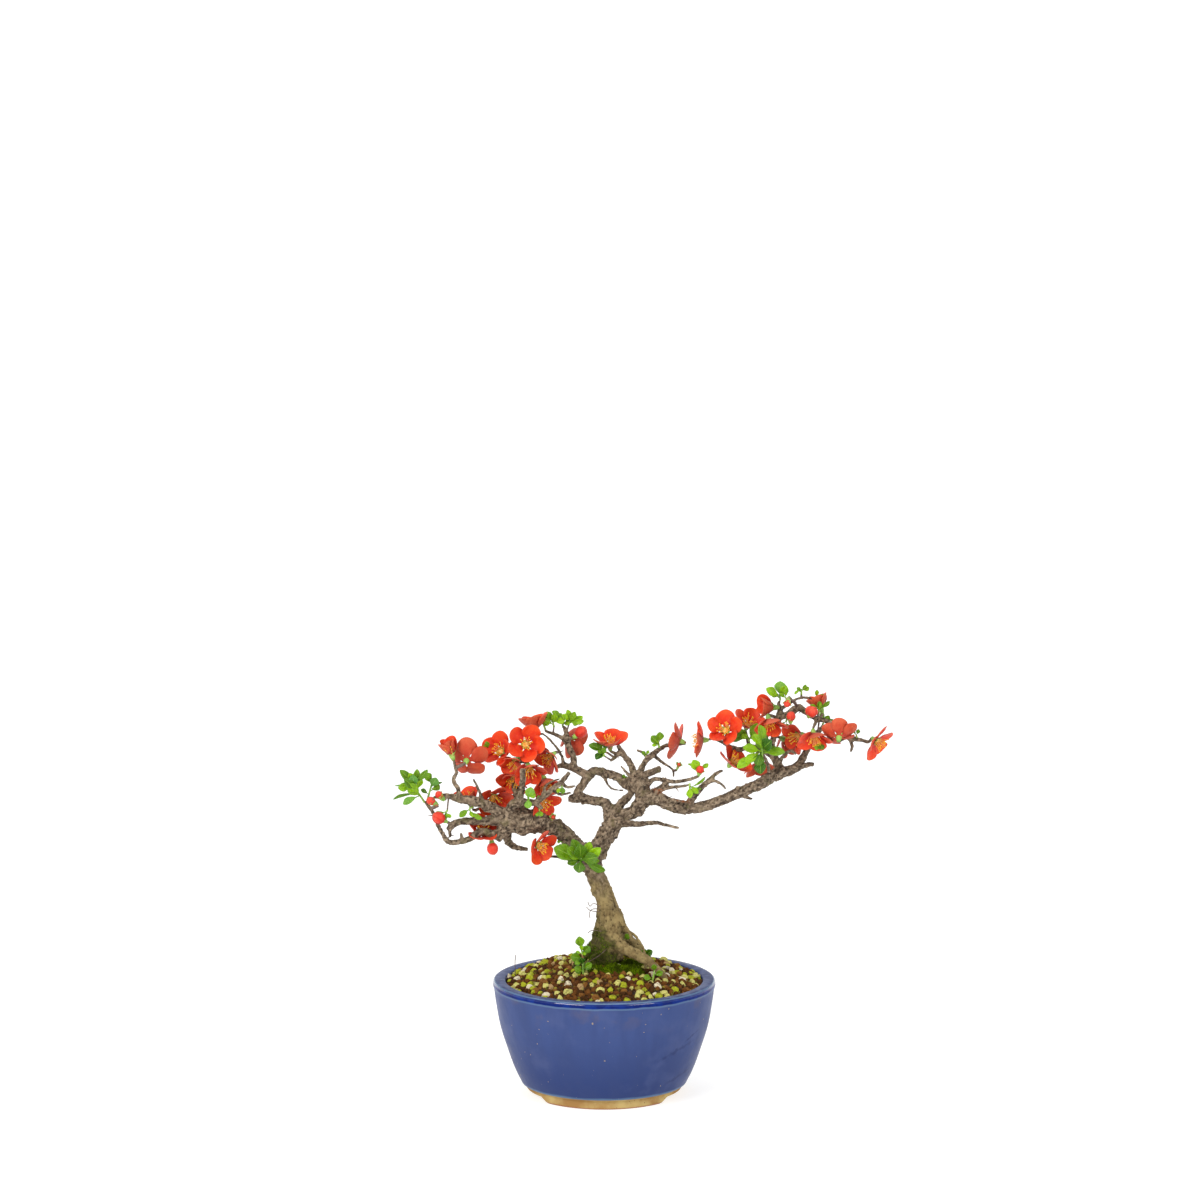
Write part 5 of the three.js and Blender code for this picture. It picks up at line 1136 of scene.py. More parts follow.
def bed_surface(name, materials, closed):
    """The top of the soil under its loose grains, closed below to fill the pot or left open."""
    inner = RIM_RADIUS - RIM_WIDTH - 0.3
    rings = []
    for k in range(SOIL_RINGS):
        ring = []
        for x, y, _ in round_ring(inner * (k + 1) / SOIL_RINGS, 0, SOIL_SIDES):
            lumps = 1.1 * noise.noise(Vector((x, y, 0)) * 0.12) + 0.5 * noise.noise(Vector((x, y, 9)) * 0.4)
            ring.append((x, y, soil_height(x, y) - BED_DROP + lumps))
        rings.append(ring)
    if closed:
        for radius, height in ((inner, 60.1), (inner - 6, 36.2), (43.6, FLOOR_TOP + 2)):
            rings.append(round_ring(radius, height, SOIL_SIDES))
    sheaf = Sheaf()
    foot = (0, 0, FLOOR_TOP + 2) if closed else None
    add_disc(sheaf, rings, SOIL_SIDES, (0, 0, SOIL_CROWN - BED_DROP), foot)
    return sheaf.mesh(name, materials)


def geometry_tree(name, inputs):
    """An empty geometry node tree, with a geometry going in and out and named sizes."""
    tree = bpy.data.node_groups.new(name, "GeometryNodeTree")
    tree.interface.new_socket("Geometry", in_out="INPUT", socket_type="NodeSocketGeometry")
    for label, value in inputs.items():
        kind = "NodeSocketInt" if isinstance(value, int) else "NodeSocketFloat"
        tree.interface.new_socket(label, in_out="INPUT", socket_type=kind).default_value = value
    tree.interface.new_socket("Geometry", in_out="OUTPUT", socket_type="NodeSocketGeometry")
    return tree, tree.nodes.new("NodeGroupInput"), tree.nodes.new("NodeGroupOutput")


def run_tree(mesh, tree, values):
    """The mesh that a geometry node tree makes of another, with its inputs set."""
    helper = helper_object(mesh)
    modifier = helper.modifiers.new(tree.name, "NODES")
    modifier.node_group = tree
    for item in tree.interface.items_tree:
        if item.item_type == "SOCKET" and item.in_out == "INPUT" and item.name in values:
            modifier[item.identifier] = values[item.name]
    return evaluated_mesh(helper)


def moved(tree, geometry, offset):
    node = add_node(tree, "GeometryNodeSetPosition", {"Geometry": geometry, "Offset": offset})
    return node.outputs["Geometry"]


def painted(tree, geometry, material):
    node = add_node(tree, "GeometryNodeSetMaterial", {"Geometry": geometry, "Material": material})
    return node.outputs["Geometry"]


def scaled(tree, vector, share):
    return add_node(tree, "ShaderNodeVectorMath", {0: vector, "Scale": share}, operation="SCALE").outputs[0]


def grain_tree():
    """Rough grains, each its own shape, scattered over a surface without crowding."""
    tree, given, result = geometry_tree("scattered_grains", {
        "Spacing": 0.003, "Size": 0.002, "Roughness": 0.001, "Faces": 2, "Darkest": 0.0, "Palest": 1.0,
        "Seed": 3})
    asked = given.outputs
    points = add_node(tree, "GeometryNodeDistributePointsOnFaces", {
        "Mesh": asked["Geometry"], "Distance Min": asked["Spacing"], "Density Max": 400000.0,
        "Seed": asked["Seed"]}, distribute_method="POISSON")
    pebble = add_node(tree, "GeometryNodeMeshIcoSphere", {
        "Radius": asked["Size"], "Subdivisions": asked["Faces"]})
    turn = add_node(tree, "FunctionNodeRandomValue", {
        0: (0, 0, 0), 1: (math.tau, math.tau, math.tau)}, data_type="FLOAT_VECTOR")
    stretch = add_node(tree, "FunctionNodeRandomValue", {
        0: (0.62, 0.62, 0.55), 1: (1.22, 1.1, 1.0), "Seed": 5}, data_type="FLOAT_VECTOR")
    placed = add_node(tree, "GeometryNodeInstanceOnPoints", {
        "Points": points.outputs["Points"], "Instance": pebble.outputs["Mesh"],
        "Rotation": turn.outputs[0], "Scale": stretch.outputs[0]})
    tint = add_node(tree, "FunctionNodeRandomValue", {
        2: asked["Darkest"], 3: asked["Palest"], "Seed": 11}, data_type="FLOAT")
    tinted = add_node(tree, "GeometryNodeStoreNamedAttribute", {
        "Geometry": placed.outputs["Instances"], "Name": "tint", "Value": tint.outputs[1]},
        data_type="FLOAT", domain="INSTANCE")
    real = add_node(tree, "GeometryNodeRealizeInstances", {"Geometry": tinted.outputs["Geometry"]})
    chips = add_node(tree, "ShaderNodeTexNoise", {"Scale": 420.0, "Detail": 2.0})
    centred = add_node(tree, "ShaderNodeVectorMath", {
        0: chips.outputs["Color"], 1: (0.5, 0.5, 0.5)}, operation="SUBTRACT")
    chipped = moved(tree, real.outputs["Geometry"], scaled(tree, centred.outputs[0], asked["Roughness"]))
    flat = add_node(tree, "GeometryNodeSetShadeSmooth", {"Geometry": chipped, "Shade Smooth": False})
    tree.links.new(painted(tree, flat.outputs["Geometry"], GRIT), result.inputs["Geometry"])
    return tree


def make_soil():
    make_piece("soil_bed", bed_surface("soil_bed", [bed_material()], True), ["soil"])
    tree = grain_tree()
    for name, spacing, size, chips, faces, darkest, palest in GRAINS:
        grains = run_tree(bed_surface(name, [GRIT], False), tree, {
            "Spacing": spacing * MM, "Size": size * MM, "Roughness": chips * MM, "Faces": faces,
            "Darkest": darkest, "Palest": palest, "Seed": GRAIN_SEED})
        keep_inside(grains, (RIM_RADIUS - RIM_WIDTH) * MM)
        make_piece(name, grains)


def keep_inside(mesh, radius):
    """Draws in what would stand in the pot's wall or over its rim."""
    count = len(mesh.vertices)
    spots = np.zeros(count * 3)
    mesh.vertices.foreach_get("co", spots)
    spots = spots.reshape(-1, 3)
    away = spots[:, :2] - np.array(POT_AXIS[:2])
    distance = np.linalg.norm(away, axis=1)
    share = np.minimum(1, (radius - 0.0002) / np.maximum(distance, 1e-6))
    spots[:, :2] = np.array(POT_AXIS[:2]) + away * share[:, None]
    mesh.vertices.foreach_set("co", spots.ravel())
    mesh.update()


# Wood

def bends(points, tolerance):
    """The points of a branch that its shape needs."""
    kept = [points[0]]
    for here, after in zip(points[1:], points[2:]):
        start, end = Vector(kept[-1][:3]), Vector(after[:3])
        spot, run = Vector(here[:3]), end - start
        share = max(0, min(1, (spot - start).dot(run) / run.length_squared))
        if (start + run * share - spot).length > tolerance:
            kept.append(here)
    return [*kept, points[-1]]


def nearest_tip(target, rods, taken):
    """The free end of a branch near `target`, if a stalk goes on to it without a sharp bend."""
    best, found = TIP_REACH, None
    for name in WOOD:
        before, tip = (Vector(point[:3]) for point in rods[name][-2:])
        distance = (tip - target).length
        if name not in taken and distance < best and (tip - before).angle(target - tip) < SHARPEST_BEND:
            best, found = distance, name
    return found


def nearest_wood(target):
    """The point and radius of the wood nearest to `target`, measured from its surface."""
    best, found = math.inf, None
    for points in WOOD.values():
        for one, other in zip(points, points[1:]):
            for step in range(4):
                spot = Vector(one).lerp(Vector(other), step / 4)
                distance = (spot.to_3d() - target).length - spot[3]
                if distance < best:
                    best, found = distance, spot
    return found


def wood_rods():
    """Every branch, with a stalk for each bloom, bud and shoot, as in the part's own source."""
    rods = {name: bends(points, BEND) for name, points in WOOD.items()}
    full = {name: list(points) for name, points in WOOD.items()}
    stalks = [(name, spec, PEDUNCLE_RADIUS) for name, spec in {**BLOOMS, **BUDS}.items()]
    stalks += [(name, spec, SHOOT_RADIUS) for name, spec in SHOOTS.items() if name.startswith("leaves")]
    stalks += [(name, spec, SHOOT_RADIUS * 0.7) for name, spec in SPRIGS.items() if not spec["rooted"]]
    stalks += [(name, spec, PEDUNCLE_RADIUS * 0.8) for name, spec in {**MORE_BLOOMS, **SMALL_BUDS}.items()]
    taken = set()
    for name, spec, radius in stalks:
        end = Vector(spec["base"]) - direction(spec["face"]) * GAP
        tip = nearest_tip(end, rods, taken)
        last = (*end, radius)
        if tip:
            taken.add(tip)
            full[tip].append(last)
        else:
            start = nearest_wood(end)
            full[name + "_spur"] = [(*start.to_3d(), min(radius * 1.25, start[3])), last]
    return full


def add_ball(sheaf, centre, radius, draw):
    """A small lump, as twelve corners of a ball, pushed about."""
    golden = (1 + 5 ** 0.5) / 2
    corners = [(a, b * golden, 0) for a in (-1, 1) for b in (-1, 1)]
    corners = corners + [(0, a, b) for a, b, _ in corners] + [(b, 0, a) for a, b, _ in corners]
    spots = [Vector(corner).normalized() for corner in corners]
    faces = []
    for a in range(12):
        for b in range(a + 1, 12):
            for c in range(b + 1, 12):
                if all((spots[p] - spots[q]).length < 1.1 for p, q in ((a, b), (b, c), (a, c))):
                    turned = (spots[b] - spots[a]).cross(spots[c] - spots[a]).dot(spots[a]) > 0
                    faces.append((a, b, c) if turned else (a, c, b))
    shape = [centre + spot * radius * (0.8 + 0.4 * draw()) for spot in spots]
    sheaf.add(shape, faces)


def limb_samples(rods, step):
    """Places along every branch, as (place and radius, direction)."""
    samples = []
    for points in rods.values():
        path = smooth_path(points, step)
        for one, other in zip(path, path[1:]):
            samples.append((one, (other - one).to_3d().normalized()))
    return samples


def rough_bark(mesh, samples):
    """Furrows that run along each limb and small lumps between them, deeper on thick wood."""
    tree = kdtree.KDTree(len(samples))
    for k, (spot, _) in enumerate(samples):
        tree.insert(in_frame(spot), k)
    tree.balance()
    count = len(mesh.vertices)
    normals = np.zeros(count * 3)
    mesh.vertex_normals.foreach_get("vector", normals)
    normals = normals.reshape(-1, 3)
    heights = []
    for vertex, normal in zip(mesh.vertices, normals):
        _, k, _ = tree.find(vertex.co)
        spot, along = samples[k]
        place = (vertex.co - POT_AXIS) / MM
        drawn = place - along * (0.78 * place.dot(along))
        furrow = noise.fractal(drawn * 0.5, 0.8, 2.1, 3)
        lump = noise.noise(place * 0.55)
        flake = noise.noise(place * 1.7)
        depth = min(1.25, 0.16 + 0.12 * spot[3])
        relief = 0.9 * furrow + 0.55 * lump + 0.22 * flake
        heights.append(0.52 + 0.62 * furrow + 0.16 * lump + 0.2 * flake)
        vertex.co += Vector(normal) * (depth * relief) * MM
    # Each point's height in the bark is kept as its tint. The bark paints shade in the furrows and light on
    # the ridges from it.
    furrow_shade_ridge_light = mesh.attributes.new("tint", "FLOAT", "POINT")
    furrow_shade_ridge_light.data.foreach_set("value", heights)
    mesh.update()


def add_knobs(sheaf, samples):
    """Small lumps on the limbs, where shoots once grew."""
    draw = random_stream("knobs")
    limbs = [(spot, along) for spot, along in samples if spot[3] > 1.5 and spot[2] > KNOBS_FROM]
    for _ in range(KNOBS):
        spot, along = limbs[int(draw() * len(limbs))]
        side, _ = frame_along(along, draw() * math.tau)
        radius = min(2.3, spot[3] * (0.18 + 0.32 * draw())) + 0.25
        add_ball(sheaf, spot.to_3d() + side * (spot[3] - radius * 0.25), radius, draw)


def add_thorns_and_hairs(sheaf, samples):
    """Short blunt thorns on the twigs, the dead rootlets and the dry stalk."""
    draw = random_stream("thorns")
    twigs = [(spot, along) for spot, along in samples if 0.8 < spot[3] < 3.5 and spot[2] > THORNS_FROM]
    for _ in range(THORNS):
        spot, along = twigs[int(draw() * len(twigs))]
        side, _ = frame_along(along, draw() * math.tau)
        aim = (side + along * (0.7 * draw())).normalized()
        length = spot[3] + 1.2 + 2.6 * draw()
        foot = spot.to_3d()
        path = [Vector((*(foot + aim * length * t), 0.5 * (1 - t) + 0.1)) for t in (0, 0.4, 0.7, 1)]
        add_tube(sheaf, path, 6)
    for points in HAIRS:
        path = smooth_path([(*point, HAIR_RADIUS) for point in points], 1.0)
        add_tube(sheaf, path, 5, relief=0.2, draw=draw)


def fused(mesh):
    """The limbs grown together in one skin, softened where they meet."""
    body = helper_object(mesh)
    remesh = body.modifiers.new("fused", "REMESH")
    remesh.mode = "VOXEL"
    remesh.voxel_size = BARK_CELL * MM
    soften = body.modifiers.new("softened", "SMOOTH")
    soften.factor = 0.5
    soften.iterations = 2
    return evaluated_mesh(body)


def make_wood():
    """The bark of the thick limbs, and the fine twigs. The rootlets are among the hairs."""
    rods = wood_rods()
    thick, thin = Sheaf(), Sheaf()
    for name, points in rods.items():
        if name.startswith("rootlet"):
            continue
        widest = max(point[3] for point in points)
        draw = random_stream(name + "_bark")
        path = smooth_path(points, max(1.2, widest * 0.45))
        if widest > FINE_TWIG:
            add_tube(thick, path, 14 if widest > 3 else 10, relief=0.1, draw=draw)
        else:
            add_tube(thin, path, 8, relief=0.08, draw=draw)
    samples = limb_samples(rods, 1.5)
    add_knobs(thick, samples)
    add_thorns_and_hairs(thin, samples)
    mesh = fused(thick.mesh("limbs", [BARK]))
    rough_bark(mesh, samples)
    mesh.polygons.foreach_set("use_smooth", [True] * len(mesh.polygons))
    mesh.materials.clear()
    mesh.materials.append(BARK)
    make_piece("bark", mesh, ["tree"])
    make_piece("fine_twigs", thin.mesh("fine_twigs", [TWIG]), ["tree"])
    return mesh


# Blooms

def petal_outline(draw):
    """How wide a petal is along its length: a short claw, then a round blade with a wavy edge."""
    middle, reach = 0.6, 0.42
    rows = []
    for k in range(8):
        u = middle * k / 8
        rows.append((u, max(0.26, math.sqrt(max(0, 1 - ((middle - u) / reach) ** 2)))))
    phase = draw() * math.tau
    for k in range(7):
        angle = math.pi / 2 * k / 7
        wave = 1 + 0.045 * math.sin(3 * angle + phase)
        rows.append((middle + (1 - middle) * math.sin(angle), math.cos(angle) * wave))
    return rows


def add_petal(sheaf, spec, forward, out, lean, size, draw, tint):
    """One cupped petal. Its one edge lies over its neighbour and the other edge under the next."""
    across = forward.cross(out)
    base = Vector(spec["base"])
    claw = CALYX_RADIUS * 0.6
    around = claw + 0.6 * size * math.sin(lean)
    width = min(size * 0.45, 1.05 * around)
    wrap = 0.35 * width * width * math.cos(lean) / around
    wave = draw() * math.tau
    lap = 0.08 + 0.03 * draw()
    ruffle = 0.045 + 0.03 * draw()

    def place(u, w):
        tilt = lean + PETAL_CURL * (0.45 - u)
        mean = lean + PETAL_CURL * (0.45 - u / 2)
        cup = (size * PETAL_CUP + wrap) * w * w
        cup += size * (lap * w * min(1, u * 2) + ruffle * u * u * math.sin(4.2 * w + wave) * abs(w))
        radial = claw + size * u * math.sin(mean) - cup * math.cos(tilt)
        rise = CALYX_HEIGHT - 0.9 + size * u * math.cos(mean) + cup * math.sin(tilt)
        return base + out * radial + forward * rise + across * (w * width)

    front = forward * math.sin(lean) - out * math.cos(lean)
    add_blade(sheaf, place, petal_outline(draw), 8, PETAL_THICK, front, (0, 1), tint)


def add_calyx(sheaf, base, forward, side, up, radius, height, slots, draw):
    """The green cup under the petals, with its throat and five small blunt sepals on its rim."""
    shape = ((-0.06, 0.45), (0.1, 0.56), (0.35, 0.78), (0.6, 0.86), (0.85, 0.95), (1.0, 1.06))
    path = [Vector((*(base + forward * (height * t)), radius * r)) for t, r in shape]
    add_tube(sheaf, path, 12, slots[0])
    throat = ((0.9, 0.5), (0.98, 0.98), (1.03, 0.9), (1.08, 0.6), (1.1, 0.25))
    path = [Vector((*(base + forward * (height * t)), radius * r)) for t, r in throat]
    add_tube(sheaf, path, 12, slots[1])
    for i in range(PETALS):
        angle = (i + 0.5 + 0.2 * (draw() - 0.5)) * math.tau / PETALS
        out = side * math.cos(angle) + up * math.sin(angle)
        across = forward.cross(out)
        rim = base + forward * (height * 0.86) + out * (radius * 0.86)
        aim = (forward * 0.62 + out * 0.78).normalized()
        lift = aim.cross(across).normalized()

        def place(u, w, rim=rim, aim=aim, across=across, lift=lift):
            curl = lift * (0.5 * w * w + 0.25 * u * u)
            return rim + aim * (u * SEPAL_LENGTH) + across * (w * SEPAL_HALF_WIDTH) + curl

        outline = [(0, 0.8), (0.3, 1.0), (0.6, 0.85), (0.85, 0.5)]
        add_blade(sheaf, place, outline, 4, 0.3, out, (slots[0], slots[0]), 0.5)


def make_bloom(name, spec):
    """A bloom's petals and calyx. Returns where its stamens stand, their aims and their lengths."""
    forward = direction(spec["face"])
    side, up = frame_along(forward, math.radians(spec["turn"]))
    base = Vector(spec["base"])
    lean_draw = random_stream(name)
    draw = random_stream(name + "_fine")
    sheaf = Sheaf()
    for i in range(PETALS):
        angle = i * math.tau / PETALS
        out = side * math.cos(angle) + up * math.sin(angle)
        lean = math.radians(spec["open"]) + math.radians(14) * (lean_draw() - 0.5)
        size = spec["size"] * (0.94 + 0.1 * lean_draw())
        add_petal(sheaf, spec, forward, out, lean, size, draw, draw())
    add_calyx(sheaf, base, forward, side, up, CALYX_RADIUS, CALYX_HEIGHT, (2, 3), draw)
    mesh = sheaf.mesh(name + "_petals", [PETAL_FRONT, PETAL_BACK, CALYX, FILAMENT])
    make_piece(name + "_petals", mesh, [name] if name in BLOOMS else [])
    stamens = []
    for i in range(STAMENS):
        around = math.tau * (i * 0.382 + 0.1 * draw())
        ring = 0.35 + 1.15 * ((i + 0.5) / STAMENS) ** 0.5
        spread = 0.06 + 0.3 * ring * (0.5 + 0.8 * draw())
        out = side * math.cos(around) + up * math.sin(around)
        foot = base + forward * (CALYX_HEIGHT * 0.75) + out * ring
        aim = forward * math.cos(spread) + out * math.sin(spread)
        reach = FILAMENT_SHORTEST + FILAMENT_SPREAD * draw()
        stamens.append((foot, aim, reach, draw()))
    return stamens


def named_attribute(tree, name, kind):
    node = add_node(tree, "GeometryNodeInputNamedAttribute", {"Name": name}, data_type=kind)
    return node.outputs["Attribute"]


def planted_tree(name, build_shapes):
    """Small shapes set on every point, along its aim: as long as its reach, or at the reach's end."""
    tree, given, result = geometry_tree(name, {"Width": 0.0002, "Tip size": 0.0004})
    aim = named_attribute(tree, "aim", "FLOAT_VECTOR")
    reach = named_attribute(tree, "reach", "FLOAT")
    turn = add_node(tree, "FunctionNodeAlignRotationToVector", {"Vector": aim}, axis="Z")
    long = add_node(tree, "ShaderNodeCombineXYZ", {"X": 1.0, "Y": 1.0, "Z": reach})
    joined = add_node(tree, "GeometryNodeJoinGeometry")
    for shape, stretched in build_shapes(tree, given):
        points = given.outputs["Geometry"]
        inputs = {"Instance": shape, "Rotation": turn.outputs["Rotation"]}
        if stretched:
            inputs["Scale"] = long.outputs[0]
        else:
            points = moved(tree, points, scaled(tree, aim, reach))
        placed = add_node(tree, "GeometryNodeInstanceOnPoints", {"Points": points, **inputs})
        tree.links.new(placed.outputs["Instances"], joined.inputs["Geometry"])
    real = add_node(tree, "GeometryNodeRealizeInstances", {"Geometry": joined.outputs["Geometry"]})
    tree.links.new(real.outputs["Geometry"], result.inputs["Geometry"])
    return tree


def stamen_shapes(tree, given):
    """A filament one metre long, to be scaled, and an anther."""
    line = add_node(tree, "GeometryNodeCurvePrimitiveLine", {"End": (0, 0, 1)})
    ring = add_node(tree, "GeometryNodeCurvePrimitiveCircle", {
        "Resolution": 5, "Radius": given.outputs["Width"]})
    thread = add_node(tree, "GeometryNodeCurveToMesh", {
        "Curve": line.outputs["Curve"], "Profile Curve": ring.outputs["Curve"], "Fill Caps": True})
    ball = add_node(tree, "GeometryNodeMeshIcoSphere", {
        "Radius": given.outputs["Tip size"], "Subdivisions": 1})
    long = add_node(tree, "GeometryNodeTransform", {
        "Geometry": ball.outputs["Mesh"], "Scale": (0.75, 0.75, 1.15)})
    return [(painted(tree, thread.outputs["Mesh"], FILAMENT), True),
            (painted(tree, long.outputs["Geometry"], ANTHER), False)]


def moss_shapes(tree, given):
    """A pointed moss leaf one metre long, to be scaled."""
    blade = add_node(tree, "GeometryNodeMeshCone", {
        "Vertices": 3, "Radius Top": 0.00004, "Radius Bottom": given.outputs["Width"], "Depth": 1.0})
    return [(painted(tree, blade.outputs["Mesh"], MOSS), True)]


def planted_mesh(name, spots, tree, values):
    """Runs a planted tree on a list of (foot, aim, reach, tint)."""
    mesh = bpy.data.meshes.new(name)
    feet, aims, reaches, tints = zip(*spots)
    mesh.from_pydata([in_frame(foot) for foot in feet], [], [])
    aim = mesh.attributes.new("aim", "FLOAT_VECTOR", "POINT")
    aim.data.foreach_set("vector", np.array(aims, np.float32).ravel())
    reach = mesh.attributes.new("reach", "FLOAT", "POINT")
    reach.data.foreach_set("value", [length * MM for length in reaches])
    tint = mesh.attributes.new("tint", "FLOAT", "POINT")
    tint.data.foreach_set("value", tints)
    return run_tree(mesh, tree, values)


def make_blooms():
    stamens = []
    for name, spec in {**BLOOMS, **MORE_BLOOMS}.items():
        stamens += make_bloom(name, spec)
    tree = planted_tree("stamen_tufts", stamen_shapes)
    sizes = {"Width": FILAMENT_RADIUS * MM, "Tip size": ANTHER_RADIUS * MM}
    mesh = planted_mesh("stamens", stamens, tree, sizes)
    tufts = [name + "_stamens" for name, spec in BLOOMS.items() if spec["tuft"]]
    make_piece("stamens", mesh, tufts)


# Buds

def add_bud(sheaf, spec, slots, draw):
    """A closed bud: five petals wrapped one over the next, in their calyx."""
    forward = direction(spec["face"])
    side, up = frame_along(forward, 0)
    radius = spec["size"] / 2
    base = Vector(spec["base"])
    centre = base + forward * (3 + radius * 0.9)
    for i in range(PETALS):
        start = i * math.tau / PETALS

        def place(u, w, start=start):
            angle = start + w * 1.0
            polar = math.pi * (0.08 + 0.91 * u)
            shell = radius * (0.95 + 0.05 * w + 0.03 * math.sin(3 * w + start))
            out = side * math.cos(angle) + up * math.sin(angle)
            return centre + out * (shell * math.sin(polar)) - forward * (1.15 * shell * math.cos(polar))

        outline = [(0, 0.3)] + [(0.12 * k, 1.0 - 0.1 * (k > 6)) for k in range(1, 8)] + [(0.95, 0.6)]
        out = side * math.cos(start) + up * math.sin(start)
        add_blade(sheaf, place, outline, 8, 0.24, out, (slots[0], slots[0]), draw())
    cup = min(CALYX_RADIUS, radius * 0.88)
    add_calyx(sheaf, base, forward, side, up, cup, CALYX_HEIGHT, (slots[1], slots[1]), draw)


def make_buds():
    for name, spec in BUDS.items():
        sheaf = Sheaf()
        add_bud(sheaf, spec, (0, 1), random_stream(name + "_fine"))
        make_piece(name + "_wrapped", sheaf.mesh(name + "_wrapped", [BUD_RED, CALYX]), [name])
    sheaf = Sheaf()
    for name, spec in SMALL_BUDS.items():
        add_bud(sheaf, spec, (0, 1), random_stream(name + "_bud"))
    make_piece("small_buds", sheaf.mesh("small_buds", [BUD_RED, CALYX]))


# Leaves

def leaf_outline(length):
    """How wide a leaf is along its length: a wedge on a stalk that opens into a round, toothed end."""
    teeth = 8 if length < 8 else 12
    rows = [(0.0, 0.1), (0.12, 0.1), (0.2, 0.14)]
    for k in range(2 * teeth):
        part = (k + 1) / (2 * teeth + 0.5)
        swell = math.sin(math.pi * part ** 1.45) ** 0.72
        tooth = 0.88 if part > 0.3 and k % 2 else 1.0
        rows.append((0.2 + 0.8 * part, max(0.12, swell * tooth)))
    return rows


def add_leaf(sheaf, start, leaf, tint, slots):
    """One leaf, folded a little along its midrib and arched along its length."""
    angle, toward, length, width, roll = leaf
    along = direction((angle, toward))
    viewer = Vector((0, -1, 0.2))
    face = (viewer - along * viewer.dot(along)).normalized()
    face = Matrix.Rotation(math.radians(roll), 3, along) @ face
    across = along.cross(face).normalized()
    half = width / 2

    def place(u, w):
        fold = abs(w) * half * LEAF_FOLD
        arch = length * LEAF_ARCH * (u - u * u) * 2
        ripple = 0.12 * math.sin(18 * u) * w * w
        return start + along * (u * length) + across * (w * half) + face * (fold + arch + ripple)

    add_blade(sheaf, place, leaf_outline(length), 6, LEAF_THICK, face, slots, tint)


def add_shoot(sheaf, name, spec, draw):
    """A stem with its own leaves and the small ones that open beside them."""
    forward = direction(spec["face"])
    start = Vector(spec["base"])
    end = start + forward * spec["length"]
    stem = []
    for t in (0, 0.33, 0.66, 1):
        spot = start.lerp(end, t) - forward * (0.5 if t == 0 else 0)
        stem.append(Vector((*spot, SHOOT_RADIUS * (1.05 - 0.35 * t))))
    add_tube(sheaf, stem, 8, 2)
    shade = SHADES.get(name, 0.6)
    for i, leaf in enumerate(spec["leaves"]):
        part = 0.25 + 0.7 * i / max(1, len(spec["leaves"]) - 1)
        foot = start + forward * (spec["length"] * part)
        foot += direction(leaf[:2]) * 0.1
        slots = (1, 0) if i in UNDERSIDES.get(name, ()) else (0, 1)
        tint = shade + 0.5 * (draw() - 0.5)
        tint = ODD_SHADES.get(name, {}).get(i, tint)
        add_leaf(sheaf, foot, leaf, max(0, min(1, tint)), slots)
    longest = max(leaf[2] for leaf in spec["leaves"])
    for i in range(YOUNG_LEAVES.get(name, 3) if longest > 7 else 0):
        facing = (spec["face"][0] + 170 * (draw() - 0.5), 10 + 70 * (draw() - 0.5))
        size = longest * (0.35 + 0.3 * draw())
        young = (*facing, size, size * (0.4 + 0.2 * draw()), 60 * (draw() - 0.5))
        foot = start + forward * (spec["length"] * (0.4 + 0.6 * draw()))
        add_leaf(sheaf, foot, young, min(1, shade + 0.25 + 0.3 * draw()), (0, 1))


def make_leaves():
    finishes = [LEAF_FRONT, LEAF_BACK, CALYX, BUD_RED]
    for name, spec in SHOOTS.items():
        sheaf = Sheaf()
        draw = random_stream(name + "_fine")
        add_shoot(sheaf, name, spec, draw)
        if spec["bud"]:
            add_bud(sheaf, spec["bud"], (3, 2), draw)
        make_piece(name + "_blades", sheaf.mesh(name + "_blades", finishes), [name])
    sheaf = Sheaf()
    for name, spec in SPRIGS.items():
        add_shoot(sheaf, name, spec, random_stream(name))
    make_piece("sprigs", sheaf.mesh("sprigs", finishes))


# Moss

def make_moss(bark_mesh):
    """Moss on the soil at the foot of the trunk, and on the shaded side of the trunk's foot."""
    draw = random_stream("moss")
    spots = []
    for cx, cy, rx, ry, rise, count in MOSS_PADS:
        for _ in range(count):
            angle, share = draw() * math.tau, draw() ** 0.6
            x, y = cx + rx * share * math.cos(angle), cy + ry * share * math.sin(angle)
            z = soil_height(x, y) - 0.8 + rise * (1 - share * share) * draw() ** 0.5
            aim = Vector((draw() - 0.5, draw() - 0.5, 0.45)).normalized()
            spots.append((Vector((x, y, z)), aim, 1.0 + 1.4 * draw(), draw()))
    for vertex in bark_mesh.vertices:
        place = (vertex.co - POT_AXIS) / MM
        if place.z < 112 and place.y < 6 and place.x < 6 + 0.35 * (100 - place.z):
            damp = noise.noise(place * 0.16) + (100 - place.z) * 0.035
            if damp > -0.08 and draw() < 0.62:
                normal = vertex.normal
                aim = (normal + Vector((draw() - 0.5, draw() - 0.5, draw() * 0.6))).normalized()
                spots.append((place - normal * 0.2, aim, 0.6 + 0.8 * draw(), 0.7 * draw()))
    tree = planted_tree("moss_leaves", moss_shapes)
    mesh = planted_mesh("moss", spots, tree, {"Width": MOSS_LEAF_RADIUS * MM})
    make_piece("moss", mesh)


# Camera, floor and light

def make_camera():
    data = bpy.data.cameras.new("camera")
    data.lens = LENS
    data.sensor_width = SENSOR
    data.clip_end = 40
    camera = bpy.data.objects.new("camera", data)
    camera.location = in_frame(CAMERA_SPOT)
    camera.rotation_euler = (math.radians(90 - CAMERA_PITCH), 0, 0)
    bpy.context.scene.collection.objects.link(camera)
    bpy.context.scene.camera = camera


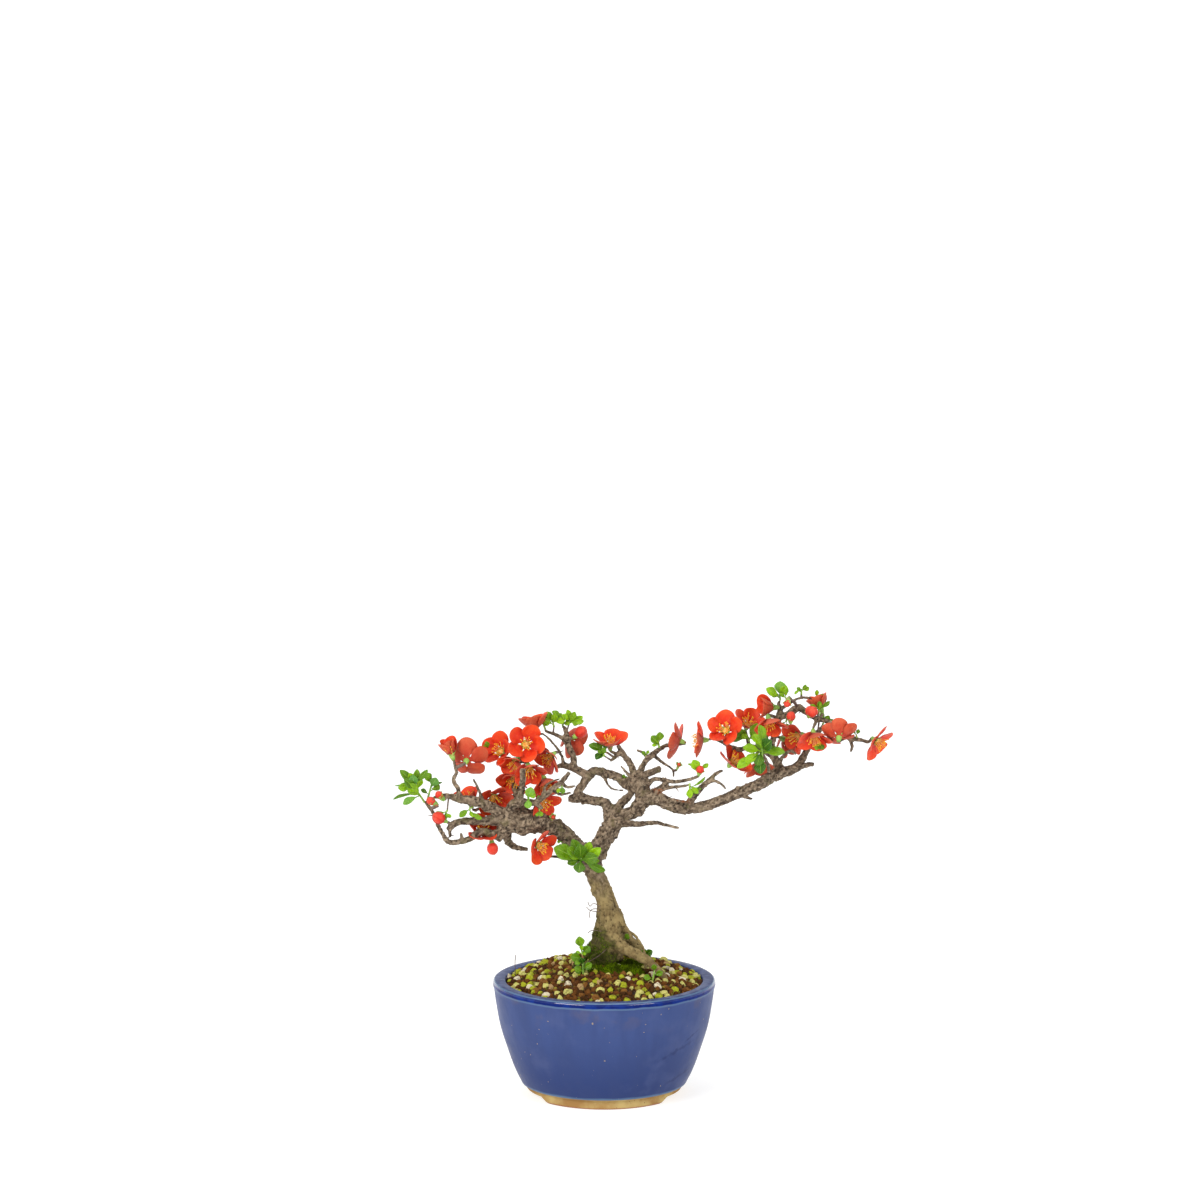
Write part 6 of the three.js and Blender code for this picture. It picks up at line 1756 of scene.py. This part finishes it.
def make_backdrop():
    """A pale floor that turns up into a low round wall, so that the ground is white all round."""
    paint = Paint("pale_floor", Roughness=0.95, Base_Color=(0.45, 0.45, 0.45, 1),
                  Emission_Color=(1, 1, 1, 1))
    x, y, _ = paint.axes(paint.place)
    glow = paint.math("MULTIPLY_ADD", paint.mask(paint.radius(x, y), 0.25, 2.2), 0.27, 0.7)
    feed(paint.tree, paint.shader.inputs["Emission Strength"], glow)
    sheaf = Sheaf()
    rings = [round_ring(radius, height, FLOOR_SIDES) for radius, height in FLOOR_SWEEP]
    add_disc(sheaf, rings, FLOOR_SIDES, (0, 0, 0))
    floor = bpy.data.objects.new("floor", sheaf.mesh("floor", [paint.material]))
    bpy.context.scene.collection.objects.link(floor)


def add_light(name, place, size, power, colour):
    """A soft square light that looks at the middle of the plant."""
    data = bpy.data.lights.new(name, "AREA")
    data.shape = "RECTANGLE"
    data.size, data.size_y = size
    data.energy = power
    data.color = colour
    light = bpy.data.objects.new(name, data)
    light.location = in_frame(place)
    aim = in_frame((10, 0, 120)) - light.location
    light.rotation_euler = aim.to_track_quat("-Z", "Y").to_euler()
    bpy.context.scene.collection.objects.link(light)


def make_lights():
    world = bpy.data.worlds.new("studio")
    world.use_nodes = True
    world.node_tree.nodes["Background"].inputs["Color"].default_value = (1, 1, 1, 1)
    world.node_tree.nodes["Background"].inputs["Strength"].default_value = 0.42
    bpy.context.scene.world = world
    add_light("key", (-1000, -1250, 1000), (0.9, 0.6), 20, (1, 0.96, 0.88))
    add_light("fill", (1050, -1250, 900), (0.8, 0.5), 9, (1, 0.98, 0.94))
    add_light("top", (-100, 250, 1400), (1.2, 1.2), 9, (1, 0.97, 0.9))
    bpy.context.scene.view_settings.view_transform = "Standard"


make_camera()
make_backdrop()
make_lights()
make_pot()
make_soil()
bark = make_wood()
make_blooms()
make_buds()
make_leaves()
make_moss(bark)
drain_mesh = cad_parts["drain_mesh"]
drain_mesh.data.materials.clear()
drain_mesh.data.materials.append(mesh_plastic_material())
